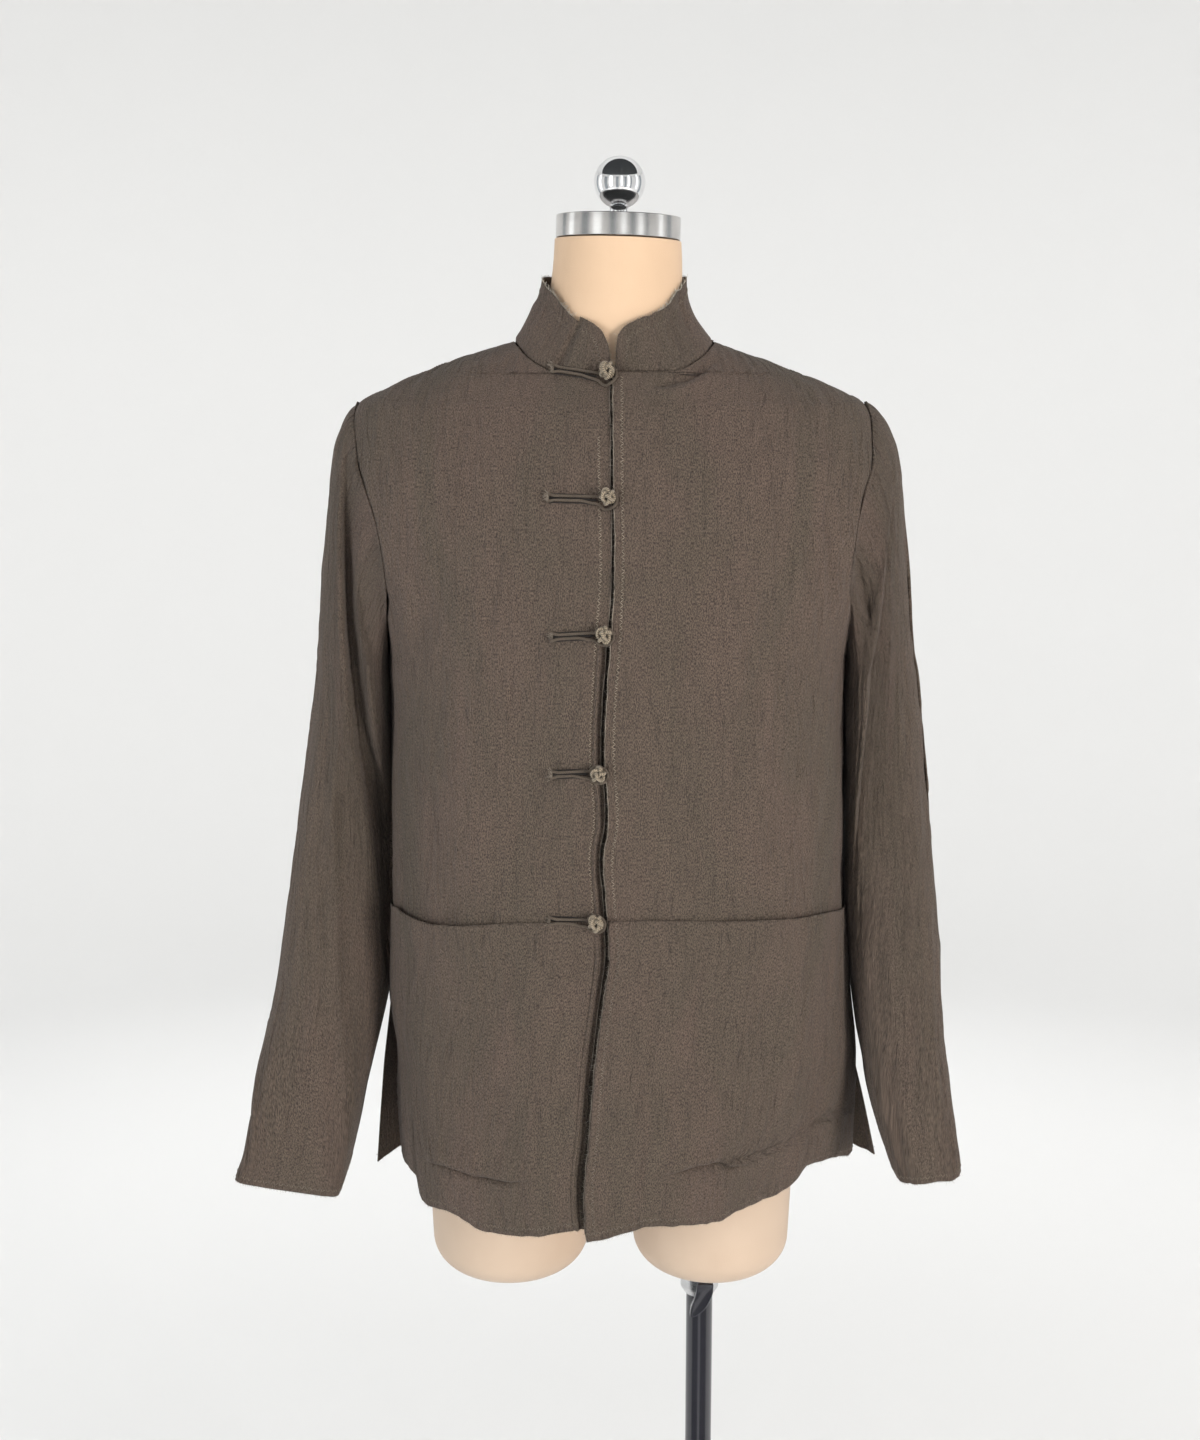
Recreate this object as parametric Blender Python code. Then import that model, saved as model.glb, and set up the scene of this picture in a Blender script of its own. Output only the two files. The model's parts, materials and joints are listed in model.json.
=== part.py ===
"""A tang jacket on a limbless dress form and its stand, in metres, with +Z up.

The origin is at floor level, under the middle of the form. The jacket's front
faces -Y. Left and right are those of someone who faces it, so left is -X.
"""
import math

import bmesh
import bpy
from mathutils import Matrix, Vector

# ---------------------------------------------------------------- cloth sizes
CLOTH = 0.0015              # thickness of every wall of cloth
SEAM_GAP = 0.0006           # opening between two pieces at a seam, on the outside
LEFT, RIGHT = -1, 1

HEM_HEIGHT = 0.814
HEM_RISE = {LEFT: 0.018, RIGHT: 0.020}     # how much higher the fronts end at the vents
HEM_RISE_ANGLES = {LEFT: (52, 70), RIGHT: (44, 62)}
HEM_RISE_REACH = 0.080      # height over which the rise fades out
UNDERARM_HEIGHT = 1.275
SHOULDER_TIP_HEIGHT = 1.486
FRONT_NECK_HEIGHT = 1.509
NECK_HEIGHT = 1.536         # neck seam at the sides and the back
NECK_HALF_WIDTH = 0.083
VENT_TOP = {LEFT: 0.985, RIGHT: 0.920}

# Level sections of the jacket's body. left and right are half widths, front and back
# are depths from the side seams, and the last two say how square each front quarter is.
BODY_COLUMNS = ("height", "left", "right", "front", "back", "square_left", "square_right")
BODY_SECTIONS = (
    (0.814, 0.1900, 0.2120, 0.1380, 0.1170, 2.2, 1.35),
    (0.870, 0.1925, 0.2125, 0.1370, 0.1150, 2.3, 1.60),
    (0.920, 0.1940, 0.2110, 0.1360, 0.1120, 2.3, 1.90),
    (0.985, 0.1940, 0.2040, 0.1335, 0.1080, 2.3, 2.1),
    (1.060, 0.1925, 0.1985, 0.1310, 0.1050, 2.3, 2.2),
    (1.150, 0.1910, 0.1950, 0.1310, 0.1070, 2.3, 2.3),
    (1.240, 0.1895, 0.1940, 0.1340, 0.1150, 2.3, 2.3),
    (1.275, 0.1900, 0.1945, 0.1360, 0.1190, 2.3, 2.3),
    (1.320, 0.2010, 0.2060, 0.1350, 0.1220, 2.3, 2.3),
    (1.380, 0.2220, 0.2260, 0.1280, 0.1200, 2.2, 2.2),
    (1.430, 0.2290, 0.2290, 0.1150, 0.1140, 2.2, 2.2),
    (1.465, 0.2220, 0.2190, 0.1010, 0.1070, 2.1, 2.1),
    (1.486, 0.2120, 0.2065, 0.0895, 0.1000, 2.1, 2.1),
    (1.4975, 0.1905, 0.1845, 0.0825, 0.0950, 2.0, 2.0),
    (1.509, 0.1640, 0.1560, 0.0755, 0.0890, 2.0, 2.0),
    (1.5225, 0.1290, 0.1200, 0.0660, 0.0800, 2.0, 2.0),
    (1.536, 0.0840, 0.0815, 0.0570, 0.0680, 2.0, 2.0),
)

# The front neck seam, seen from the front.
NECK_COLUMNS = ("height", "half_width")
NECK_SEAM = (
    (1.5090, 0.0000),
    (1.5108, 0.0480),
    (1.5175, 0.0630),
    (1.5260, 0.0740),
    (1.5320, 0.0795),
    (1.5360, NECK_HALF_WIDTH),
)

ARMHOLE_FRONT_SWEEP = 33.0  # degrees that the armhole cuts into the front
ARMHOLE_BACK_SWEEP = 33.0
ARMHOLE_ROUNDNESS = 0.6

# The lapping front edge, on the right front.
EDGE_COLUMNS = ("height", "x")
FRONT_EDGE = (
    (0.814, -0.0220),
    (0.870, -0.0225),
    (0.950, -0.0170),
    (1.020, -0.0080),
    (1.100, -0.0065),
    (1.200, -0.0075),
    (1.300, -0.0035),
    (1.400, -0.0012),
    (1.509, -0.0020),
)
UNDERLAP = 0.012            # how far the left front runs on beneath the lapping edge
LAP_RISE = 0.0034           # how far the lapping edge stands out from the left front
LAP_REACH = 0.075           # width over which that rise fades out

BACK_FLARE = {LEFT: 0.023, RIGHT: 0.024}   # how far the back's flaps stand out at the hem
BACK_FLARE_Y = 0.022

FRONT_COLUMN_COUNT = 9
BACK_COLUMN_COUNT = 17
BODY_ROWS = (
    0.814, 0.850, 0.885, 0.920, 0.952, 0.985, 1.030, 1.079, 1.125, 1.180, 1.230, 1.275,
    1.290, 1.320, 1.350, 1.380, 1.410, 1.440, 1.465, 1.479, 1.486, 1.4975, 1.509,
    1.5108, 1.5145, 1.5185, 1.5235, 1.5290, 1.5330, 1.5360,
)

# ---------------------------------------------------------------- sleeve sizes
# Rings down each sleeve. outer and inner are the ring's ends away from and beside the
# body, middle_y its centre front to back, and half_depth half its size that way.
RING_COLUMNS = ("outer_x", "outer_z", "inner_x", "inner_z", "middle_y", "half_depth")
SLEEVE_RINGS = {
    LEFT: (
        (0.2130, 1.4860, 0.1908, 1.2750, 0.0000, 0.0600),
        (0.2240, 1.4800, 0.1909, 1.2600, 0.0020, 0.0620),
        (0.2315, 1.4600, 0.1909, 1.2450, 0.0040, 0.0645),
        (0.2360, 1.4320, 0.1910, 1.2270, 0.0060, 0.0665),
        (0.2400, 1.3950, 0.1912, 1.2070, 0.0080, 0.0670),
        (0.2450, 1.3500, 0.1915, 1.1830, 0.0100, 0.0660),
        (0.2495, 1.3000, 0.1920, 1.1550, 0.0120, 0.0640),
        (0.2550, 1.2500, 0.1925, 1.1250, 0.0130, 0.0620),
        (0.2610, 1.2000, 0.1930, 1.0930, 0.0130, 0.0610),
        (0.2680, 1.1500, 0.1937, 1.0600, 0.0110, 0.0600),
        (0.2755, 1.1000, 0.1948, 1.0270, 0.0060, 0.0590),
        (0.2825, 1.0500, 0.1970, 0.9930, -0.0030, 0.0580),
        (0.2900, 1.0000, 0.2015, 0.9590, -0.0140, 0.0560),
        (0.2975, 0.9550, 0.2095, 0.9260, -0.0260, 0.0540),
        (0.3050, 0.9160, 0.2170, 0.8960, -0.0370, 0.0520),
        (0.3115, 0.8820, 0.2220, 0.8690, -0.0460, 0.0510),
        (0.3155, 0.8580, 0.2260, 0.8480, -0.0520, 0.0500),
        (0.3205, 0.8380, 0.2300, 0.8290, -0.0550, 0.0490),
    ),
    RIGHT: (
        (0.2075, 1.4860, 0.1953, 1.2750, 0.0000, 0.0600),
        (0.2205, 1.4790, 0.1954, 1.2600, 0.0020, 0.0620),
        (0.2305, 1.4605, 0.1955, 1.2450, 0.0040, 0.0645),
        (0.2375, 1.4340, 0.1956, 1.2270, 0.0060, 0.0665),
        (0.2430, 1.3950, 0.1958, 1.2070, 0.0080, 0.0670),
        (0.2490, 1.3500, 0.1960, 1.1830, 0.0100, 0.0660),
        (0.2535, 1.3000, 0.1965, 1.1550, 0.0120, 0.0640),
        (0.2590, 1.2500, 0.1972, 1.1250, 0.0130, 0.0620),
        (0.2645, 1.2000, 0.1983, 1.0930, 0.0120, 0.0610),
        (0.2690, 1.1500, 0.1998, 1.0600, 0.0090, 0.0600),
        (0.2725, 1.1000, 0.2023, 1.0270, 0.0030, 0.0590),
        (0.2765, 1.0500, 0.2056, 0.9930, -0.0070, 0.0580),
        (0.2800, 1.0000, 0.2095, 0.9590, -0.0190, 0.0560),
        (0.2825, 0.9550, 0.2145, 0.9260, -0.0320, 0.0540),
        (0.2850, 0.9160, 0.2190, 0.8990, -0.0430, 0.0520),
        (0.2880, 0.8820, 0.2255, 0.8760, -0.0520, 0.0505),
        (0.2905, 0.8600, 0.2315, 0.8560, -0.0580, 0.0490),
        (0.2925, 0.8430, 0.2370, 0.8420, -0.0620, 0.0470),
    ),
}
SLEEVE_ANGLES = (0, 22, 44, 62, 76, 86, 94, 104, 118, 138, 160, 180, 202, 226, 248, 270, 292, 314, 338)
SLEEVE_RING_COUNT = 20
SLEEVE_OFFSET = {LEFT: 0.0012, RIGHT: 0.0019}     # how far its seam stands out from the armhole
SLEEVE_BLEND = 0.14         # share of the sleeve over which the armhole's loop gives way
SLEEVE_SQUARE = 2.2
FOLD_DEPTH = {LEFT: 0.016, RIGHT: 0.014}   # the long fold down the front of each sleeve
FOLD_ANGLE = {LEFT: (88, 128), RIGHT: (72, 124)}
FOLD_HALF_WIDTH = 15.0
FOLD_SPAN = (0.08, 0.56)    # share of the sleeve where the fold starts and ends

# ---------------------------------------------------------------- collar sizes
COLLAR_TOP_SIDE = 0.0600    # half width of the collar's top edge
COLLAR_TOP_FRONT = 0.0620
COLLAR_TOP_BACK = 0.0610
COLLAR_HEIGHT = {"front": 1.5530, "side": 1.5860, "back": 1.5920}
COLLAR_SEAT = 0.0018        # how far the band stands above the neck seam
COLLAR_CURVE = {LEFT: 1.5, RIGHT: 2.0}     # how sharply its foot flares out at each side
COLLAR_CURVE_MIDDLE = 1.2   # the same at the front and the back
COLLAR_MEAN_RADIUS = 0.075  # for lengths along the band
COLLAR_EASE = 0.085         # draws the columns towards the front corners
COLLAR_CORNER = 0.030       # length of the rounded front corners
COLLAR_END_SHARE = 0.14     # how much of the band's height is left at its ends
COLLAR_FRONT_GAP = {LEFT: 0.0030, RIGHT: 0.0005}
COLLAR_COLUMN_COUNT = 29
COLLAR_ROW_COUNT = 4

# ---------------------------------------------------------------- trim sizes
POCKET_MOUTH = 1.079
POCKET_BOTTOM = 0.822
POCKET_CLOTH = 0.0012
POCKET_INSET = 0.08         # share of a panel's outer column that stays bare beside it
POCKET_LAP_GAP = 0.0030     # from the left pocket to the lapping edge beside it
POCKET_GAPE = 0.0050
PANEL_CLEARANCE = 0.0006

KNOT_RADIUS = 0.0060
KNOT_STANDOFF = 0.0012      # between a knot and the left front below it
LOOP_CORD_RADIUS = 0.0010
LOOP_CORD_SPACING = 0.0028
LOOP_RING_RADIUS = 0.0075
LOOP_ARM = (-0.030, -0.020, -0.0125)       # places along the straight cords, from the knot
LOOP_OPENING = 22           # degrees between the ring's ends and the straight cords
LOOP_SEGMENTS = 6
# slope tips a loop's sewn end up, reach is how far that end is from the knot, drop is how
# far the loop lies below the knot's middle, and raised is what lies under the two.
FASTENER_COLUMNS = ("height", "x", "slope", "reach", "drop", "raised")
FASTENERS = (
    (1.5066, -0.0072, 0.09, 0.043, 0.0016, 0.0005),
    (1.4143, -0.0066, 0.03, 0.047, 0.0, 0.0),
    (1.3087, -0.0092, -0.08, 0.042, 0.0, 0.0),
    (1.1994, -0.0134, -0.08, 0.038, 0.0, 0.0),
    (1.0779, -0.0152, 0.0, 0.038, 0.0, 0.0020),
)

# ---------------------------------------------------------------- form sizes
# Level sections of the dress form's torso and neck.
FORM_COLUMNS = ("height", "half_width", "front", "back")
FORM_SECTIONS = (
    (0.790, 0.130, 0.070, 0.080),
    (0.800, 0.150, 0.084, 0.094),
    (0.830, 0.162, 0.094, 0.100),
    (0.900, 0.168, 0.098, 0.100),
    (0.980, 0.162, 0.098, 0.094),
    (1.060, 0.150, 0.098, 0.084),
    (1.140, 0.146, 0.104, 0.084),
    (1.220, 0.154, 0.112, 0.098),
    (1.300, 0.166, 0.120, 0.110),
    (1.360, 0.177, 0.119, 0.112),
    (1.410, 0.189, 0.111, 0.109),
    (1.445, 0.197, 0.100, 0.103),
    (1.470, 0.199, 0.090, 0.098),
    (1.484, 0.197, 0.083, 0.093),
    (1.4945, 0.182, 0.077, 0.089),
    (1.506, 0.157, 0.070, 0.083),
    (1.519, 0.122, 0.062, 0.075),
    (1.530, 0.084, 0.059, 0.067),
    (1.541, 0.067, 0.0570, 0.0610),
    (1.560, 0.0560, 0.0555, 0.0565),
    (1.585, 0.0535, 0.0535, 0.0535),
    (1.6183, 0.0520, 0.0520, 0.0520),
)
FORM_SEGMENTS = 28
NECK_X = 0.0028
NECK_SHIFT_FROM = 1.500     # the neck leans to NECK_X from this height up
STUB_X = {LEFT: -0.0915, RIGHT: 0.0865}
STUB_HALF_WIDTH = 0.0690
STUB_HALF_DEPTH = 0.0740
STUB_TOP = 0.850
STUB_BOTTOM = 0.7260
STUB_EDGE = 0.027           # rounding of the stub's lower edge
STUB_SEGMENTS = 22

CAP_RADIUS = 0.0512
CAP_THICKNESS = 0.0182
CAP_CHAMFER = 0.0010
CAP_TILT = math.radians(1.5)
BALL_RADIUS = 0.0212
BALL_HEIGHT = 1.6640
BALL_SHANK_RADIUS = 0.0080
PART_GAP = 0.0003           # between hard pieces that touch

POLE_X = 0.0775
POLE_RADIUS = 0.0118
POLE_FLANGE_RADIUS = 0.032
POLE_FLANGE_HEIGHT = 0.008
SOCKET_RADIUS = 0.0169
SOCKET_BOTTOM = 0.6960
SOCKET_CHAMFER = 0.0055
BASE_RADIUS = 0.180
BASE_THICKNESS = 0.008
BASE_CHAMFER = 0.002
ROUND_SEGMENTS = 40

LEVER_PIVOT = Vector((0.0805, 0.0, 0.7085))
LEVER_HUB_RADIUS = 0.0066
LEVER_HUB_DEPTH = 0.0095
LEVER_LENGTH = 0.0270
LEVER_TIP_HALF_WIDTH = 0.0036
LEVER_LEAN = math.radians(27)


# ---------------------------------------------------------------- small helpers
def smooth_value(rows, columns, name, height):
    """Reads a table at a height, along a smooth curve through its rows."""
    at = columns.index(name)
    heights = [row[0] for row in rows]
    if height <= heights[0]:
        return rows[0][at]
    if height >= heights[-1]:
        return rows[-1][at]
    low = max(i for i, h in enumerate(heights) if h <= height)
    return hermite(heights, [row[at] for row in rows], low, height)


def hermite(places, values, low, place):
    """One span of a cubic curve whose slopes never overshoot the values."""
    def slope(i):
        if i == 0 or i == len(places) - 1:
            return 0.0 if len(places) < 3 else end_slope(i)
        before = (values[i] - values[i - 1]) / (places[i] - places[i - 1])
        after = (values[i + 1] - values[i]) / (places[i + 1] - places[i])
        if before * after <= 0:
            return 0.0
        return 2 * before * after / (before + after)

    def end_slope(i):
        j = 1 if i == 0 else i
        return (values[j] - values[j - 1]) / (places[j] - places[j - 1])

    step = places[low + 1] - places[low]
    t = (place - places[low]) / step
    return (
        values[low] * (2 * t**3 - 3 * t**2 + 1)
        + slope(low) * step * (t**3 - 2 * t**2 + t)
        + values[low + 1] * (3 * t**2 - 2 * t**3)
        + slope(low + 1) * step * (t**3 - t**2)
    )


def smoothstep(low, high, value):
    t = min(max((value - low) / (high - low), 0.0), 1.0)
    return t * t * (3 - 2 * t)


def rounded(value, power):
    """A signed power, the building block of a superellipse."""
    return math.copysign(abs(value) ** power, value)


def make_material(name, colour, roughness, metallic=0.0):
    material = bpy.data.materials.new(name)
    material.use_nodes = True
    shader = material.node_tree.nodes["Principled BSDF"]
    shader.inputs["Base Color"].default_value = (*colour, 1.0)
    shader.inputs["Roughness"].default_value = roughness
    shader.inputs["Metallic"].default_value = metallic
    return material


def add_object(name, shape, material):
    """Turns a finished bmesh into an object whose faces point outwards."""
    bmesh.ops.remove_doubles(shape, verts=shape.verts, dist=1e-6)
    bmesh.ops.dissolve_degenerate(shape, edges=shape.edges, dist=1e-7)
    bmesh.ops.recalc_face_normals(shape, faces=shape.faces)
    if shape.calc_volume(signed=True) < 0:
        bmesh.ops.reverse_faces(shape, faces=shape.faces)
    mesh = bpy.data.meshes.new(name)
    shape.to_mesh(mesh)
    shape.free()
    mesh.materials.append(material)
    thing = bpy.data.objects.new(name, mesh)
    bpy.context.scene.collection.objects.link(thing)
    return thing


def add_wall(name, outside, inside, material, wraps=False):
    """Closes two matching grids of points into one wall of cloth.

    Every square is cut along the same diagonal, so pieces that share points stay parallel.
    """
    shape = bmesh.new()
    outer = [[shape.verts.new(point) for point in row] for row in outside]
    inner = [[shape.verts.new(point) for point in row] for row in inside]
    columns = len(outer[0])
    last = columns if wraps else columns - 1
    for i in range(len(outer) - 1):
        for j in range(last):
            k = (j + 1) % columns
            shape.faces.new((outer[i][j], outer[i][k], outer[i + 1][k]))
            shape.faces.new((outer[i][j], outer[i + 1][k], outer[i + 1][j]))
            shape.faces.new((inner[i][j], inner[i + 1][k], inner[i][k]))
            shape.faces.new((inner[i][j], inner[i + 1][j], inner[i + 1][k]))
    for j in range(last):
        k = (j + 1) % columns
        shape.faces.new((inner[0][j], inner[0][k], outer[0][k], outer[0][j]))
        shape.faces.new((outer[-1][j], outer[-1][k], inner[-1][k], inner[-1][j]))
    if not wraps:
        for i in range(len(outer) - 1):
            shape.faces.new((outer[i][0], outer[i + 1][0], inner[i + 1][0], inner[i][0]))
            shape.faces.new((inner[i][-1], inner[i + 1][-1], outer[i + 1][-1], outer[i][-1]))
    return add_object(name, shape, material)


def loft(rings):
    """Skins a list of closed rings and caps both ends."""
    shape = bmesh.new()
    skins = [[shape.verts.new(point) for point in ring] for ring in rings]
    count = len(skins[0])
    for low, high in zip(skins, skins[1:]):
        for j in range(count):
            k = (j + 1) % count
            shape.faces.new((low[j], low[k], high[k], high[j]))
    shape.faces.new(list(reversed(skins[0])))
    shape.faces.new(skins[-1])
    return shape


def turned(name, profile, centre, material, segments=ROUND_SEGMENTS):
    """A turned piece from (radius, height) points; a radius of 0 closes an end."""
    shape = bmesh.new()
    rings = []
    for radius, height in profile:
        if radius == 0:
            rings.append([shape.verts.new((centre[0], centre[1], height))])
            continue
        rings.append([
            shape.verts.new((
                centre[0] + radius * math.cos(math.tau * j / segments),
                centre[1] + radius * math.sin(math.tau * j / segments),
                height,
            ))
            for j in range(segments)
        ])
    for low, high in zip(rings, rings[1:]):
        for j in range(segments):
            k = (j + 1) % segments
            corners = [low[j % len(low)], low[k % len(low)], high[k % len(high)], high[j % len(high)]]
            shape.faces.new(list(dict.fromkeys(corners)))
    for ring in (rings[0], rings[-1]):
        if len(ring) > 1:
            shape.faces.new(ring)
    return add_object(name, shape, material)


# ---------------------------------------------------------------- the jacket's body
def body_size(name, height):
    return smooth_value(BODY_SECTIONS, BODY_COLUMNS, name, height)


def body_point(angle, height):
    """A point of the body's outer face: 0 degrees is the front, 90 the right side."""
    turn = math.radians(angle)
    across, along = math.sin(turn), math.cos(turn)
    side = "right" if across >= 0 else "left"
    square = body_size("square_" + side, height) if along >= 0 else 2.3
    if height > SHOULDER_TIP_HEIGHT:
        square = min(square, 2.0)
    depth = body_size("front" if along >= 0 else "back", height)
    power = 2 / square
    x = body_size(side, height) * rounded(across, power)
    y = -depth * rounded(along, power)
    return Vector((x, y, height))


def body_normal(angle, height):
    turn_step, height_step = 0.6, 0.0008
    along = body_point(angle + turn_step, height) - body_point(angle - turn_step, height)
    low = max(height - height_step, HEM_HEIGHT)
    high = min(height + height_step, NECK_HEIGHT)
    up = body_point(angle, high) - body_point(angle, low)
    return along.cross(up).normalized()


def angle_at(x, height):
    """The front angle at which the body's section reaches a sideways place."""
    side = "right" if x >= 0 else "left"
    width = body_size(side, height)
    square = body_size("square_" + side, height)
    share = min(abs(x) / width, 1.0)
    return math.copysign(math.degrees(math.asin(share ** (square / 2))), x)


def armhole_cut(height, sweep):
    """How many degrees the armhole takes from a panel at a height."""
    share = (height - UNDERARM_HEIGHT) / (SHOULDER_TIP_HEIGHT - UNDERARM_HEIGHT)
    if not 0 < share < 1:
        return 0.0
    return sweep * math.sin(math.pi * share) ** ARMHOLE_ROUNDNESS


def edge_x(height):
    return smooth_value(FRONT_EDGE, EDGE_COLUMNS, "x", height)


def neck_x(height):
    return smooth_value(NECK_SEAM, NECK_COLUMNS, "half_width", height)


def lap_rise(x, height):
    """The right front's rise over the left front, greatest at the lapping edge."""
    return LAP_RISE * (1 - smoothstep(UNDERLAP + 0.004, LAP_REACH, x - edge_x(height)))


def front_span(side, height):
    """First and last angle of a front panel's row, from the middle outwards."""
    outer = side * (90 - armhole_cut(height, ARMHOLE_FRONT_SWEEP))
    if height > FRONT_NECK_HEIGHT:
        inner = side * min(abs(angle_at(side * neck_x(height), height)), 90)
    else:
        start = edge_x(height) + (UNDERLAP if side == LEFT else 0)
        inner = angle_at(start, height)
    return inner, outer


def hem_rise(side, angle, height):
    """The fronts' hems climb a little towards the vents."""
    near_hem = 1 - smoothstep(HEM_HEIGHT, HEM_HEIGHT + HEM_RISE_REACH, height)
    return HEM_RISE[side] * smoothstep(*HEM_RISE_ANGLES[side], abs(angle)) * near_hem


def front_grid(side):
    """Outer and inner faces of a front panel, one row for each level."""
    outside, inside = [], []
    for height in BODY_ROWS:
        first, last = front_span(side, height)
        outer_row, inner_row = [], []
        for j in range(FRONT_COLUMN_COUNT):
            share = j / (FRONT_COLUMN_COUNT - 1)
            angle = first + (last - first) * share
            point = body_point(angle, height)
            normal = body_normal(angle, height)
            if j == FRONT_COLUMN_COUNT - 1 and armhole_cut(height, 1) == 0:
                point.y -= SEAM_GAP / 2
            point.z += hem_rise(side, angle, height)
            rise = lap_rise(point.x, height) if side == RIGHT else 0.0
            outer_row.append(point + normal * rise)
            inner_row.append(point + normal * (rise - CLOTH))
        outside.append(outer_row)
        inside.append(inner_row)
    return outside, inside


def back_grid():
    """Outer and inner faces of the back, from the right side seam to the left."""
    outside, inside = [], []
    for height in BODY_ROWS:
        cut = armhole_cut(height, ARMHOLE_BACK_SWEEP)
        outer_row, inner_row = [], []
        for j in range(BACK_COLUMN_COUNT):
            share = j / (BACK_COLUMN_COUNT - 1)
            angle = 90 + cut + (180 - 2 * cut) * share
            point = body_point(angle, height)
            normal = body_normal(angle, height)
            point += back_flare(point, height)
            if j in (0, BACK_COLUMN_COUNT - 1) and cut == 0:
                point.y += SEAM_GAP / 2
            outer_row.append(point)
            inner_row.append(point - normal * CLOTH)
        outside.append(outer_row)
        inside.append(inner_row)
    return outside, inside


def back_flare(point, height):
    """Below its vents the back stands out past the fronts."""
    side = RIGHT if point.x > 0 else LEFT
    drop = max(VENT_TOP[side] - height, 0) / (VENT_TOP[side] - HEM_HEIGHT)
    beside = smoothstep(0.6, 1.0, abs(point.x) / body_size("right" if side > 0 else "left", height))
    return Vector((side * BACK_FLARE[side] * drop * beside, BACK_FLARE_Y * drop**0.5 * beside, 0))


# ---------------------------------------------------------------- sleeves
def armhole_edge(side, height, on_front):
    """The end of a panel's row, on the front's or on the back's side of the armhole."""
    if on_front:
        return body_point(side * (90 - armhole_cut(height, ARMHOLE_FRONT_SWEEP)), height)
    return body_point(side * (90 + armhole_cut(height, ARMHOLE_BACK_SWEEP)), height)


def armhole_point(side, turn):
    """The armhole's loop: 0 is the shoulder tip, 90 degrees the front, 180 the underarm.

    It follows the straight stretches between the panels' rows, so the seam stays even.
    """
    share = (1 + math.cos(turn)) / 2
    height = UNDERARM_HEIGHT + share * (SHOULDER_TIP_HEIGHT - UNDERARM_HEIGHT)
    low = max(row for row in BODY_ROWS if row <= height + 1e-6)
    high = min(row for row in BODY_ROWS if row > low)
    on_front = math.sin(turn) >= 0
    between = (height - low) / (high - low)
    edge = armhole_edge(side, low, on_front).lerp(armhole_edge(side, high, on_front), between)
    return edge + Vector((side * SLEEVE_OFFSET[side], 0, 0))


def sleeve_ring(side, name, share):
    rows = SLEEVE_RINGS[side]
    places = list(range(len(rows)))
    place = min(max(share, 0.0), 1.0) * (len(rows) - 1)
    low = min(int(place), len(rows) - 2)
    values = [row[RING_COLUMNS.index(name)] for row in rows]
    return hermite(places, values, low, place)


def sleeve_fold(side, share, degrees):
    """Depth of the long soft fold at a place on the sleeve's front."""
    start, end = FOLD_SPAN
    if not start < share < end:
        return 0.0
    along = (share - start) / (end - start)
    first, last = FOLD_ANGLE[side]
    middle = first + (last - first) * along**2
    window = math.sin(math.pi * along) ** 0.5
    return FOLD_DEPTH[side] * window * math.exp(-(((degrees - middle) / FOLD_HALF_WIDTH) ** 2))


def sleeve_point(side, share, degrees):
    turn = math.radians(degrees)
    outer = Vector((side * sleeve_ring(side, "outer_x", share), 0, sleeve_ring(side, "outer_z", share)))
    inner = Vector((side * sleeve_ring(side, "inner_x", share), 0, sleeve_ring(side, "inner_z", share)))
    power = 2 / SLEEVE_SQUARE
    centre = (outer + inner) / 2 + Vector((0, sleeve_ring(side, "middle_y", share), 0))
    across = (outer - inner) / 2 * rounded(math.cos(turn), power)
    depth = sleeve_ring(side, "half_depth", share) * rounded(math.sin(turn), power)
    point = centre + across + Vector((0, -depth + sleeve_fold(side, share, degrees), 0))
    blend = smoothstep(0, SLEEVE_BLEND, share)
    return armhole_point(side, turn).lerp(point, blend)


def sleeve_normal(side, share, degrees):
    around = sleeve_point(side, share, degrees + 1.5) - sleeve_point(side, share, degrees - 1.5)
    down = sleeve_point(side, min(share + 0.006, 1), degrees) - sleeve_point(side, max(share - 0.006, 0), degrees)
    return (around.cross(down) * side).normalized()


def sleeve_grid(side):
    outside, inside = [], []
    for i in range(SLEEVE_RING_COUNT):
        share = (i / (SLEEVE_RING_COUNT - 1)) ** 1.15
        points = [sleeve_point(side, share, degrees) for degrees in SLEEVE_ANGLES]
        normals = [sleeve_normal(side, share, degrees) for degrees in SLEEVE_ANGLES]
        outside.append(points)
        inside.append([point - normal * CLOTH for point, normal in zip(points, normals)])
    return outside, inside


# ---------------------------------------------------------------- collar
def neck_seam_point(turn):
    """The neck seam: 0 is the middle of the front, 90 degrees the right side."""
    degrees = math.degrees(turn) % 360
    side = RIGHT if degrees <= 180 else LEFT
    from_front = degrees if degrees <= 180 else 360 - degrees
    if from_front >= 90:
        return body_point(side * from_front, NECK_HEIGHT)
    x = NECK_HALF_WIDTH * math.sin(math.radians(from_front))
    low, high = FRONT_NECK_HEIGHT, NECK_HEIGHT
    for _ in range(30):
        middle = (low + high) / 2
        if neck_x(middle) < x:
            low = middle
        else:
            high = middle
    return body_point(side * min(abs(angle_at(side * x, low)), 90), low)


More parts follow.
